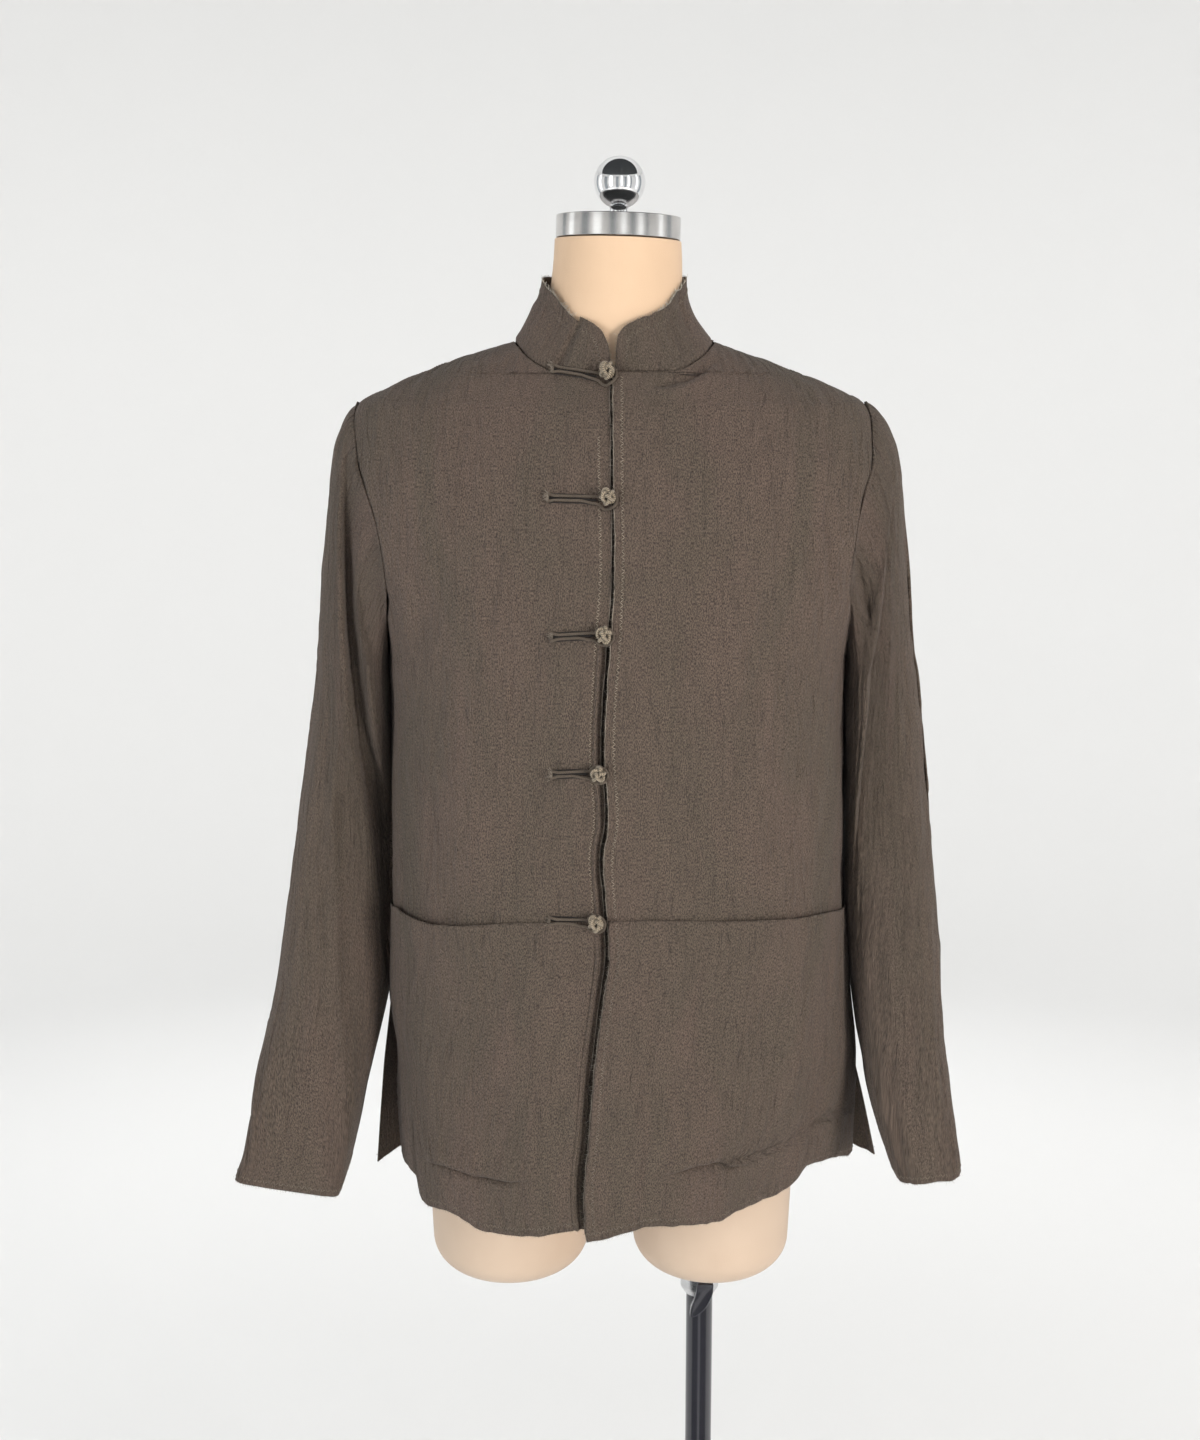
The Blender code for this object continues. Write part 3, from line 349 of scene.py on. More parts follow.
HEM_LINE = {                        # how high the fronts' hems run above the lowest rows
    LEFT: ((-0.192, 0.022), (-0.1835, 0.021), (-0.177, 0.0195), (-0.172, 0.018), (-0.1668, -0.002),
           (-0.143, 0.001), (-0.124, -0.004), (-0.110, -0.009), (-0.078, -0.007), (-0.025, 0.001),
           (-0.010, 0.000)),
    RIGHT: ((-0.024, -0.0065), (-0.008, -0.004), (0.010, 0.000), (0.026, 0.0035), (0.043, 0.001),
            (0.061, -0.001), (0.0725, -0.003), (0.0876, -0.0055), (0.110, 0.000), (0.123, 0.0035),
            (0.136, 0.0055), (0.147, 0.009), (0.157, 0.014), (0.165, 0.023), (0.182, 0.023),
            (0.195, 0.021), (0.208, 0.014)),
}
print("lowest and highest level of the body:", BODY_SECTIONS[0][0], BODY_SECTIONS[-1][0])


# %% Points of the body's surface
def body_size(name, height):
    """One of the section table's sizes at a height."""
    return table_column(BODY_SECTIONS, BODY_COLUMNS, name, height)


def signed_power(value, power):
    return np.sign(value) * np.abs(value) ** power


def body_surface(angle, height):
    """Points of the body's outer face: 0 degrees is the front, 90 the right side."""
    angle, height = np.broadcast_arrays(np.asarray(angle, float), np.asarray(height, float))
    across, along = np.sin(np.radians(angle)), np.cos(np.radians(angle))
    in_front, on_right = along >= -1e-9, across >= 0
    square = np.where(on_right, body_size("square_right", height), body_size("square_left", height))
    square = np.where(in_front, square, 2.3)
    square = np.where(height > SHOULDER_TIP_HEIGHT, np.minimum(square, 2.0), square)
    width = np.where(on_right, body_size("right", height), body_size("left", height))
    depth = np.where(in_front, body_size("front", height), body_size("back", height))
    x = width * signed_power(across, 2 / square)
    y = -depth * signed_power(along, 2 / square)
    return np.stack([x, y, height], axis=-1)


def angle_at(x, height):
    """The angle at which the body's front reaches a distance to the side."""
    x, height = np.broadcast_arrays(np.asarray(x, float), np.asarray(height, float))
    on_right = x >= 0
    width = np.where(on_right, body_size("right", height), body_size("left", height))
    square = np.where(on_right, body_size("square_right", height), body_size("square_left", height))
    square = np.where(height > SHOULDER_TIP_HEIGHT, np.minimum(square, 2.0), square)
    share = np.minimum(np.abs(x) / width, 1)
    return np.sign(x) * np.degrees(np.arcsin(share ** (square / 2)))


def body_normal(angle, height):
    """The way straight out of the body's surface."""
    along = body_surface(angle + 0.6, height) - body_surface(angle - 0.6, height)
    low, high = np.maximum(height - 0.0008, HEM_HEIGHT), np.minimum(height + 0.0008, NECK_HEIGHT)
    up = body_surface(angle, high) - body_surface(angle, low)
    normal = np.cross(along, up)
    return normal / np.linalg.norm(normal, axis=-1, keepdims=True)


def armhole_cut(height):
    """How many degrees the armhole takes away from each panel's side."""
    share = np.clip((height - UNDERARM_HEIGHT) / (SHOULDER_TIP_HEIGHT - UNDERARM_HEIGHT), 0, 1)
    return ARMHOLE_SWEEP * np.sin(np.pi * share) ** ARMHOLE_ROUNDNESS


def edge_x(height):
    """Where the right front's edge lies."""
    return table_column(FRONT_EDGE, EDGE_COLUMNS, "x", height)


# %% Rows and columns of the panels
def even_columns(surface, first, last, count, stops=((0, 0.0),)):
    """Angles that share each row's length out evenly, after stops of (column, length) at its start."""
    dense = np.linspace(0, 1, 240)
    angles = first[:, None] + (last - first)[:, None] * dense
    points = surface(angles)
    steps = np.linalg.norm(np.diff(points, axis=1), axis=2)
    length = np.concatenate([np.zeros((len(first), 1)), np.cumsum(steps, axis=1)], axis=1)
    columns = np.arange(count)
    found = []
    for line, row in zip(length, angles):
        shrink = min(1, line[-1] / 0.12)
        known = [column for column, _ in stops] + [count - 1]
        lengths = [stop * shrink for _, stop in stops] + [line[-1]]
        found.append(np.interp(np.interp(columns, known, lengths), line, row))
    return np.stack(found)


HEM_ZONE_TOP = 0.886                # the rows are closest below this, where the hem's fold lies
BODY_ROWS = np.concatenate([
    np.linspace(HEM_HEIGHT, HEM_ZONE_TOP, 44)[:-1],
    np.linspace(HEM_ZONE_TOP, UNDERARM_HEIGHT, 111)[:-1],
    np.linspace(UNDERARM_HEIGHT, SHOULDER_TIP_HEIGHT, 66)[:-1],
    np.linspace(SHOULDER_TIP_HEIGHT, FRONT_NECK_HEIGHT, 18)[:-1],
    np.linspace(FRONT_NECK_HEIGHT, NECK_HEIGHT, 30),
])
print("rows in each body panel:", len(BODY_ROWS))


# %% [markdown]
# ## The two fronts
#
# Each front is one panel from shoulder to hem. Its large creases are placed one by one: a row of
# the table is a ridge or, with a minus sign, a trough, given as points across and up the front.
# The right front laps over the left, so its edge stands out by the thickness of two cloths. The
# left front dips just beside that edge, and the dip is what makes the opening look dark.

# %% Creases of the fronts
# Each crease: its height, its width, how lopsided it is, and the points it runs through.
FRONT_CREASES = {
    LEFT: (
        (-0.0030, 0.011, 1.6, ((-0.118, 1.385), (-0.141, 1.361), (-0.157, 1.322), (-0.160, 1.290))),
        (0.0022, 0.012, 1.0, ((-0.165, 1.350), (-0.172, 1.300), (-0.176, 1.240))),
        (-0.0016, 0.014, 1.0, ((-0.060, 1.330), (-0.075, 1.230), (-0.083, 1.120))),
        (0.0018, 0.022, 1.0, ((-0.120, 1.260), (-0.132, 1.160), (-0.128, 1.090))),
        (-0.0020, 0.018, 1.0, ((-0.160, 1.190), (-0.150, 1.120), (-0.120, 1.090))),
        (0.0012, 0.009, 1.0, ((-0.100, 1.450), (-0.080, 1.420), (-0.060, 1.405))),
        (-0.0012, 0.008, 1.5, ((-0.190, 1.455), (-0.165, 1.440), (-0.150, 1.415))),
    ),
    RIGHT: (
        (-0.0036, 0.0018, 2.0, ((0.024, 1.4995), (0.039, 1.4990), (0.062, 1.5070), (0.084, 1.5210))),
        (0.0028, 0.0045, 1.0, ((0.026, 1.4950), (0.046, 1.4940), (0.070, 1.5030), (0.086, 1.5150))),
        (0.0022, 0.016, 1.0, ((0.150, 1.400), (0.160, 1.330), (0.165, 1.240))),
        (-0.0020, 0.013, 1.4, ((0.125, 1.440), (0.132, 1.360), (0.128, 1.280))),
        (0.0016, 0.012, 1.0, ((0.085, 1.380), (0.092, 1.280), (0.088, 1.180))),
        (-0.0014, 0.010, 1.0, ((0.050, 1.330), (0.056, 1.240), (0.052, 1.140))),
        (-0.0012, 0.0030, 1.5, ((0.0347, 1.215), (0.0342, 1.150))),
        (0.0012, 0.007, 1.0, ((0.110, 1.240), (0.116, 1.160), (0.112, 1.090))),
        (-0.0022, 0.020, 1.0, ((0.150, 1.220), (0.146, 1.150), (0.132, 1.090))),
        (-0.0010, 0.006, 1.0, ((0.178, 1.470), (0.160, 1.455), (0.140, 1.452))),
        (-0.0010, 0.006, 1.0, ((0.172, 1.425), (0.155, 1.420), (0.138, 1.428))),
    ),
}
LOWER_CREASES = {                   # below the pocket mouths; the first ones are the hems' folded edges
    LEFT: (
        (0.0046, 0.0026, 4.0, ((-0.168, 0.8590), (-0.136, 0.8610), (-0.108, 0.8625), (-0.086, 0.8610),
                               (-0.056, 0.8660))),
        (-0.0058, 0.0017, 1.0, ((-0.160, 0.8550), (-0.136, 0.8568), (-0.104, 0.8568), (-0.090, 0.8563),
                                (-0.070, 0.8598))),
        (0.0009, 0.0012, 1.0, ((-0.062, 0.8462), (-0.022, 0.8475))),
        (-0.0022, 0.010, 1.0, ((-0.080, 1.060), (-0.092, 1.030), (-0.104, 1.000))),
        (-0.0030, 0.009, 1.0, ((-0.032, 1.066), (-0.024, 1.050), (-0.018, 1.030))),
        (0.0022, 0.016, 1.0, ((-0.150, 1.040), (-0.156, 0.960), (-0.152, 0.880))),
        (0.0014, 0.014, 1.0, ((-0.060, 1.020), (-0.056, 0.950), (-0.066, 0.880))),
        (-0.0016, 0.014, 1.0, ((-0.120, 1.000), (-0.116, 0.940), (-0.126, 0.880))),
    ),
    RIGHT: (
        (0.0046, 0.0026, 3.0, ((0.036, 0.8650), (0.065, 0.8715), (0.092, 0.8750))),
        (0.0022, 0.0020, 1.5, ((0.084, 0.8750), (0.095, 0.8665), (0.102, 0.8620), (0.118, 0.8635))),
        (-0.0056, 0.0017, 1.0, ((0.044, 0.8630), (0.070, 0.8680), (0.088, 0.8665), (0.094, 0.8595),
                                (0.112, 0.8590))),
        (0.0010, 0.0026, 2.0, ((0.008, 0.8590), (0.030, 0.8610), (0.046, 0.8655))),
        (0.0009, 0.0012, 1.0, ((-0.020, 0.8445), (-0.002, 0.8460), (0.020, 0.8493), (0.065, 0.8552),
                               (0.104, 0.8612))),
        (-0.0014, 0.0040, 1.4, ((0.0340, 1.060), (0.0300, 1.015), (0.0262, 0.968), (0.0245, 0.932))),
        (0.0012, 0.008, 1.0, ((0.046, 1.050), (0.044, 0.990), (0.038, 0.940))),
        (-0.0012, 0.007, 1.0, ((0.020, 0.948), (0.040, 0.940), (0.066, 0.944))),
        (0.0016, 0.012, 1.0, ((0.095, 0.985), (0.112, 0.965), (0.130, 0.962))),
        (-0.0028, 0.012, 1.0, ((0.182, 0.945), (0.166, 0.900), (0.158, 0.865))),
        (0.0020, 0.016, 1.0, ((0.140, 1.040), (0.150, 0.980), (0.146, 0.910))),
    ),
}
SIDE_FOLD_DEPTH, SIDE_FOLD_REACH = 0.0014, 0.016
SIDE_FOLD = (                       # where the left front turns away towards the sleeve, by height
    (0.880, -0.1690),
    (0.985, -0.1700),
    (1.080, -0.1600),
    (1.160, -0.1545),
    (1.240, -0.1490),
    (1.310, -0.1430),
    (1.360, -0.1300),
)
for side in (LEFT, RIGHT):
    print("creases of the front,", SIDE_NAMES[side], len(FRONT_CREASES[side] + LOWER_CREASES[side]))


# %% How far a front stands out
def creases_of(table, x, z):
    """All of a table's creases together."""
    total = np.zeros(x.shape)
    for height, width, lean, points in table:
        total += height * crease(x, z, points, width, lean)
    return total


def edge_gap(points):
    """Distance outwards from the lapping edge."""
    return points[..., 0] - edge_x(points[..., 2])


def opening_dip(z):
    """Where the left front starts to dip beside the lapping edge, counted from that edge."""
    return -0.0021 - 0.0007 * smoothstep(1.325, 1.290, z) + 0.0006 * waver(z, 0.020, 44)


def front_lift(side, points, place):
    """How far a front stands out from the body's plain surface."""
    x, z = points[..., 0], points[..., 2]
    lift = creases_of(FRONT_CREASES[side] + LOWER_CREASES[side], x, z)
    away = edge_gap(points)
    calm = smoothstep(0.004, 0.045, np.abs(away))
    seam = smoothstep(0.0, 0.020, 1.536 - z) * smoothstep(0, 0.02, 0.21 - np.abs(x))
    below = smoothstep(1.46, 1.30, z) if side == LEFT else smoothstep(1.50, 1.38, z)
    strength = (0.0007 + 0.0005 * smoothstep(0.03, 0.12, np.abs(x))) * (1.0 if side == LEFT else 1.4)
    lift += strength * calm * (0.35 + 0.65 * seam) * crinkle(place[0], place[1], 10 + side)
    slow = noise(place[0] / 0.055 + 3, place[1] / 0.19, 30 + side)
    lift += 0.0024 * slow * calm * below
    if side == RIGHT:
        lift += LAP_RISE * (1 - smoothstep(UNDERLAP + 0.004, LAP_REACH, away))
        lift += 0.0006 * np.exp(-((away - 0.0015) / 0.002) ** 2)
        lift += 0.0007 * waver(z, 0.018, 41) * np.exp(-((away / 0.006) ** 2))
    else:
        low = smoothstep(1.325, 1.290, z)
        dip_at = opening_dip(z)
        deep = 1 - 0.55 * smoothstep(1.070, 1.030, z)
        lift -= 0.0065 * deep * smoothstep(dip_at, dip_at + 0.0012, away) * smoothstep(1.510, 1.500, z)
        lift += 0.0005 * np.exp(-((away - dip_at + 0.0006) / 0.0008) ** 2)
        turned_away = smoothstep(0, SIDE_FOLD_REACH, table_column(SIDE_FOLD, EDGE_COLUMNS, "x", z) - x)
        lift -= SIDE_FOLD_DEPTH * turned_away * smoothstep(0.885, 0.93, z) * smoothstep(1.36, 1.30, z)
        ridge_at = -0.0122 + 0.0040 * low
        lift += 0.0010 * low * np.exp(-((away - ridge_at) / 0.0012) ** 2)
        lift -= 0.0012 * low * np.exp(-((away - ridge_at + 0.0024) / 0.0010) ** 2)
        lift -= 0.0036 * low * smoothstep(ridge_at + 0.0006, ridge_at + 0.0024, away)
    return lift


# %% The fronts' grids
EDGE_COLUMNS_AT = {LEFT: ((0, 0.0), (4, 0.008), (34, 0.027)), RIGHT: ((0, 0.0), (16, 0.011))}
HEM_REACH = 0.905                   # rows below this height follow the hem's line


def front_angles(side, count):
    """Angles of every row of a front, from its edge in the middle out to the side seam."""
    last = side * (90 - armhole_cut(BODY_ROWS))
    start = edge_x(BODY_ROWS) + (UNDERLAP if side == LEFT else 0)
    neck = np.maximum(table_column(NECK_SEAM, NECK_COLUMNS, "half_width", BODY_ROWS), 1e-4)
    above = BODY_ROWS > FRONT_NECK_HEIGHT
    first = np.where(above, angle_at(side * neck, BODY_ROWS), angle_at(start, BODY_ROWS))
    surface = lambda angles: body_surface(angles, BODY_ROWS[:, None])
    return even_columns(surface, first, last, count, EDGE_COLUMNS_AT[side])


def hem_shift(side, points):
    """Moves the lowest rows so that the hem follows its own line."""
    x, z = points[..., 0], points[..., 2]
    rise = table_column(HEM_LINE[side], HEM_COLUMNS, "rise", x[0])
    share = np.clip((HEM_REACH - z) / (HEM_REACH - HEM_HEIGHT), 0, 1)
    ragged = 0.0005 * waver(x[0], 0.006, 50 + side)
    return (rise + ragged)[None, :] * share**1.5


def front_base(side, count=98):
    """A front before its folds: points of the body's surface and the way out of it."""
    angles = front_angles(side, count)
    heights = np.repeat(BODY_ROWS[:, None], count, axis=1)
    return body_surface(angles, heights), body_normal(angles, heights)


def cloth_place(side, points):
    """Metres across from the jacket's middle and up the cloth; both run on smoothly past the neck."""
    across, _ = grid_lengths(points)
    guide = body_surface(side * 40.0, BODY_ROWS)
    up = np.concatenate([[0], np.cumsum(np.linalg.norm(np.diff(guide, axis=0), axis=1))])
    return across + side * points[:, :1, 0], np.repeat(up[:, None], points.shape[1], axis=1)


def front_points(side):
    """A front's finished points, with its folds and its hem."""
    points, normals = front_base(side)
    place = cloth_place(side, points)
    lifted = points + normals * front_lift(side, points, place)[..., None]
    lifted[..., 2] += hem_shift(side, points)
    if side == LEFT:
        x, z = points[..., 0], points[..., 2]
        lifted[..., 0] += FRONT_TUCK * smoothstep(VENT_TOP[LEFT], 0.930, z) * smoothstep(0.150, 0.185, -x)
    if side == RIGHT:
        wander = 0.0004 * waver(BODY_ROWS, 0.005, 60)
        lifted[:, 0, 0] += wander * (BODY_ROWS < FRONT_NECK_HEIGHT)
    outer = BODY_ROWS < UNDERARM_HEIGHT
    lifted[outer, -1, 1] -= 0.0003
    return lifted, place


# %% [markdown]
# ## The back
#
# The back is one panel too. Below the side vents it is cut free, and a strip along each free edge
# turns outwards past the fronts, so that its inside shows from the front. The folds on the back
# hang from the shoulder blades, as they do on a straight-cut jacket over a curved form.

# %% Creases of the back
BACK_CREASES = (
    (0.0030, 0.020, 1.0, ((0.120, 1.400), (0.135, 1.280), (0.130, 1.120))),
    (-0.0030, 0.018, 1.0, ((0.080, 1.380), (0.088, 1.250), (0.082, 1.080))),
    (0.0028, 0.020, 1.0, ((-0.110, 1.410), (-0.126, 1.290), (-0.118, 1.110))),
    (-0.0030, 0.016, 1.0, ((-0.075, 1.370), (-0.080, 1.230), (-0.070, 1.060))),
    (0.0020, 0.022, 1.0, ((0.010, 1.300), (0.006, 1.150), (0.014, 0.960))),
    (-0.0020, 0.014, 1.0, ((0.045, 1.180), (0.052, 1.050), (0.046, 0.900))),
    (-0.0018, 0.014, 1.0, ((-0.040, 1.160), (-0.048, 1.020), (-0.038, 0.880))),
    (-0.0016, 0.006, 2.0, ((-0.060, 1.512), (0.000, 1.502), (0.062, 1.513))),
    (0.0016, 0.012, 1.0, ((0.150, 1.440), (0.168, 1.380), (0.170, 1.300))),
    (0.0014, 0.012, 1.0, ((-0.150, 1.445), (-0.170, 1.380), (-0.172, 1.300))),
)
BACK_HEM_REACH = 0.90               # rows below this height follow the back's hem
print("creases of the back:", len(BACK_CREASES))


# %% The back's grid
def back_flare(points):
    """Below its vents the back's free corners turn outwards, past the fronts."""
    x, z = points[..., 0], points[..., 2]
    side = np.where(x > 0, RIGHT, LEFT)
    top = np.where(x > 0, VENT_TOP[RIGHT], VENT_TOP[LEFT])
    reach = np.where(x > 0, BACK_FLARE[RIGHT], BACK_FLARE[LEFT])
    width = np.where(x > 0, body_size("right", z), body_size("left", z))
    drop = np.maximum(top - z, 0) / (top - HEM_HEIGHT)
    beside = smoothstep(0.6, 1.0, np.abs(x) / width)
    turned_out = flap_share(points)
    return np.stack([side * reach * drop * turned_out, BACK_FLARE_Y * drop**0.5 * beside, 0 * x], -1)


def flap_share(points):
    """1 at the back's two side edges, falling to 0 across the width of a flap."""
    across, _ = grid_lengths(points)
    from_edge = np.minimum(across, across[:, -1:] - across)
    return np.clip(1 - from_edge / FLAP_WIDTH, 0, 1) ** 1.2


def back_points(count=140):
    """The back's finished points, from the right side seam round to the left one."""
    cut = armhole_cut(BODY_ROWS)
    surface = lambda angles: body_surface(angles, BODY_ROWS[:, None])
    angles = even_columns(surface, 90 + cut, 270 - cut, count)
    heights = np.repeat(BODY_ROWS[:, None], count, axis=1)
    points, normals = body_surface(angles, heights), body_normal(angles, heights)
    x, y, z = points[..., 0], points[..., 1], points[..., 2]
    across, up = grid_lengths(points)
    place = (across - across[:, count // 2:count // 2 + 1] + 0.30, up)
    lift = creases_of(BACK_CREASES, x, z)
    calm = smoothstep(0, 0.02, 0.235 - np.abs(x)) * smoothstep(0, 0.02, 1.536 - z)
    lift += 0.0011 * calm * crinkle(place[0], place[1], 70)
    lift += 0.0026 * calm * noise(place[0] / 0.06, place[1] / 0.22, 75) * smoothstep(1.48, 1.35, z)
    edge = np.ones(count)
    edge[[0, -1]] = 0
    edge[[1, -2]] = 0.5
    moved = points + back_flare(points) + normals * (lift * edge)[..., None]
    share = np.clip((BACK_HEM_REACH - z) / (BACK_HEM_REACH - HEM_HEIGHT), 0, 1)
    flap = flap_share(points)
    corner = np.where(x > 0, FLAP_RISE[RIGHT], FLAP_RISE[LEFT])
    rise = 0.004 * smoothstep(0.10, 0.17, np.abs(x)) * (1 - flap) + corner * flap
    rise = rise + 0.0005 * waver(x, 0.006, 77)
    moved[..., 2] += rise * share
    below = BODY_ROWS < UNDERARM_HEIGHT
    moved[below, 0, 1] += 0.0003
    moved[below, -1, 1] += 0.0003
    return moved, place


# %% [markdown]
# ## The sleeves
#
# Each sleeve is one tube of cloth. Its rings start on the armhole's loop and lean forwards and
# outwards to the cuff. An empty sleeve collapses a little, which gives it long folds down its
# front. The left one's deep valley has a table of its own: where its sharp outer edge lies, and how
# wide and deep it is at each height. The softer folds are lines that the cloth steps down from.

# %% Sizes of the sleeves
RING_COLUMNS = ("outer_x", "outer_z", "inner_x", "inner_z", "middle_y", "half_depth")
SLEEVE_RINGS = {
    LEFT: (
        (0.2130, 1.4860, 0.1908, 1.2750, 0.0000, 0.0600),
        (0.2240, 1.4800, 0.1909, 1.2600, 0.0020, 0.0620),
        (0.2315, 1.4600, 0.1909, 1.2450, 0.0040, 0.0645),
        (0.2360, 1.4320, 0.1910, 1.2270, 0.0060, 0.0665),
        (0.2400, 1.3950, 0.1912, 1.2070, 0.0080, 0.0670),
        (0.2450, 1.3500, 0.1915, 1.1830, 0.0100, 0.0660),
        (0.2495, 1.3000, 0.1920, 1.1550, 0.0120, 0.0640),
        (0.2550, 1.2500, 0.1925, 1.1250, 0.0130, 0.0620),
        (0.2625, 1.2000, 0.1930, 1.0930, 0.0130, 0.0610),
        (0.2712, 1.1500, 0.1937, 1.0600, 0.0110, 0.0600),
        (0.2788, 1.1000, 0.1948, 1.0270, 0.0060, 0.0590),
        (0.2850, 1.0500, 0.1965, 0.9930, -0.0030, 0.0580),
        (0.2910, 1.0000, 0.2015, 0.9590, -0.0140, 0.0560),
        (0.2995, 0.9550, 0.2095, 0.9260, -0.0260, 0.0540),
        (0.3070, 0.9170, 0.2170, 0.8960, -0.0370, 0.0520),
        (0.3100, 0.8840, 0.2220, 0.8690, -0.0460, 0.0510),
        (0.3135, 0.8620, 0.2260, 0.8480, -0.0520, 0.0500),
        (0.3205, 0.8430, 0.2300, 0.8290, -0.0550, 0.0490),
    ),
    RIGHT: (
        (0.2075, 1.4860, 0.1953, 1.2750, 0.0000, 0.0600),
        (0.2205, 1.4790, 0.1954, 1.2600, 0.0020, 0.0620),
        (0.2305, 1.4605, 0.1955, 1.2450, 0.0040, 0.0645),
        (0.2375, 1.4340, 0.1956, 1.2270, 0.0060, 0.0665),
        (0.2430, 1.3950, 0.1958, 1.2070, 0.0080, 0.0670),
        (0.2490, 1.3500, 0.1960, 1.1830, 0.0100, 0.0660),
        (0.2535, 1.3000, 0.1965, 1.1550, 0.0120, 0.0640),
        (0.2610, 1.2500, 0.1972, 1.1250, 0.0130, 0.0620),
        (0.2672, 1.2000, 0.1983, 1.0930, 0.0120, 0.0610),
        (0.2717, 1.1500, 0.1998, 1.0600, 0.0090, 0.0600),
        (0.2752, 1.1000, 0.2023, 1.0270, 0.0030, 0.0590),
        (0.2790, 1.0500, 0.2056, 0.9930, -0.0070, 0.0580),
        (0.2820, 1.0000, 0.2095, 0.9590, -0.0190, 0.0560),
        (0.2825, 0.9550, 0.2145, 0.9260, -0.0320, 0.0540),
        (0.2850, 0.9170, 0.2190, 0.8990, -0.0430, 0.0520),
        (0.2880, 0.8840, 0.2255, 0.8760, -0.0520, 0.0505),
        (0.2905, 0.8640, 0.2315, 0.8560, -0.0580, 0.0490),
        (0.2925, 0.8480, 0.2370, 0.8420, -0.0620, 0.0470),
    ),
}
SLEEVE_OFFSET = {LEFT: 0.0012, RIGHT: 0.0019}
SLEEVE_BLEND, SLEEVE_SQUARE = 0.14, 2.2
INNER_SQUARE = {LEFT: 3.0, RIGHT: 4.2}   # next to the body the sleeve is pressed flatter, with a tighter turn
CUFF_SQUARE = {LEFT: 8.0, RIGHT: 4.6}    # the cuff is pressed flat, with a corner at each side
print("rings in each sleeve's table:", len(SLEEVE_RINGS[LEFT]))

# %% Folds of the sleeves
# The left sleeve's long valley: its sharp outer edge, its width and its depth, by height.
VALLEY_COLUMNS = ("height", "x", "width", "depth")
SLEEVE_VALLEY = (
    (1.0600, 0.2010, 0.0300, 0.0000),
    (1.1200, 0.2080, 0.0250, 0.0120),
    (1.1580, 0.2120, 0.0190, 0.0160),
    (1.1940, 0.2160, 0.0165, 0.0180),
    (1.2290, 0.2195, 0.0160, 0.0185),
    (1.2760, 0.2225, 0.0150, 0.0185),
    (1.3120, 0.2240, 0.0125, 0.0170),
    (1.3690, 0.2235, 0.0100, 0.0140),
    (1.4200, 0.2230, 0.0080, 0.0080),
    (1.4700, 0.2250, 0.0050, 0.0000),
)

# Long folds down the front of each sleeve. The cloth steps down on one side of the line (1 for the
# outer side, -1 for the side next to the body) and goes on sinking by the slope, up to its reach.
# Each fold: way, step, slope, reach, and its line as heights and x.
FOLD_POINT_COLUMNS = ("height", "x")
SLEEVE_FOLDS = {
    LEFT: (
        (-1, 0.003, 0.60, 0.026, ((0.880, 0.224), (0.930, 0.226), (0.987, 0.229), (1.032, 0.231),
                                  (1.076, 0.232), (1.150, 0.236), (1.220, 0.228))),
    ),
    RIGHT: (
        (1, 0.015, 0.40, 0.012, ((1.090, 0.202), (1.120, 0.203), (1.142, 0.204), (1.182, 0.206),
                                 (1.229, 0.208), (1.267, 0.210), (1.299, 0.215), (1.327, 0.218),
                                 (1.364, 0.222), (1.389, 0.225), (1.413, 0.228), (1.446, 0.234))),
        (-1, 0.006, 0.40, 0.010, ((1.305, 0.216), (1.318, 0.213), (1.330, 0.209), (1.349, 0.200),
                                  (1.362, 0.190))),
        (-1, 0.000, 0.30, 0.026, ((0.880, 0.240), (0.950, 0.236), (1.020, 0.230), (1.080, 0.226),
                                  (1.120, 0.222))),
    ),
}
print("long folds:", {SIDE_NAMES[side]: len(SLEEVE_FOLDS[side]) for side in SLEEVE_FOLDS})

# %% Creases of the sleeves
# Creases of each sleeve, by degrees round it (90 is the front) and metres down it.
SLEEVE_CREASES = {
    LEFT: (
        (-0.0040, 0.016, 1.0, ((135, 0.150), (150, 0.230), (165, 0.300))),
        (-0.0014, 0.005, 1.0, ((118, 0.452), (134, 0.446))),
        (-0.0018, 0.007, 1.0, ((60, 0.150), (66, 0.250), (70, 0.340))),
        (0.0016, 0.008, 1.0, ((40, 0.110), (46, 0.220), (50, 0.330), (48, 0.430))),
        (-0.0014, 0.006, 1.0, ((20, 0.180), (26, 0.290), (30, 0.420))),
        (-0.0030, 0.006, 1.0, ((-30, 0.618), (0, 0.612), (40, 0.604), (70, 0.606))),
        (0.0016, 0.010, 1.0, ((85, 0.420), (92, 0.500), (96, 0.580))),
        (-0.0020, 0.008, 1.0, ((240, 0.220), (262, 0.250), (284, 0.262))),
        (-0.0024, 0.009, 1.0, ((236, 0.300), (258, 0.318), (286, 0.322))),
        (0.0020, 0.010, 1.0, ((300, 0.120), (290, 0.260), (288, 0.420))),
    ),
    RIGHT: (
        (-0.0018, 0.005, 1.0, ((120, 0.060), (104, 0.090), (96, 0.125))),
        (-0.0016, 0.005, 1.0, ((30, 0.020), (58, 0.052), (76, 0.080))),
        (-0.0014, 0.004, 1.0, ((16, 0.036), (40, 0.070), (62, 0.110))),
        (-0.0014, 0.006, 1.0, ((26, 0.200), (34, 0.300), (40, 0.400))),
        (0.0014, 0.008, 1.0, ((44, 0.380), (52, 0.470), (58, 0.560))),
        (-0.0018, 0.009, 1.0, ((96, 0.420), (112, 0.500), (118, 0.580))),
        (-0.0016, 0.007, 1.0, ((70, 0.460), (82, 0.540), (88, 0.600))),
        (-0.0024, 0.009, 1.0, ((240, 0.230), (262, 0.262), (288, 0.270))),
        (-0.0020, 0.008, 1.0, ((236, 0.310), (258, 0.330), (286, 0.336))),
        (0.0020, 0.010, 1.0, ((300, 0.120), (292, 0.260), (288, 0.420))),
    ),
}
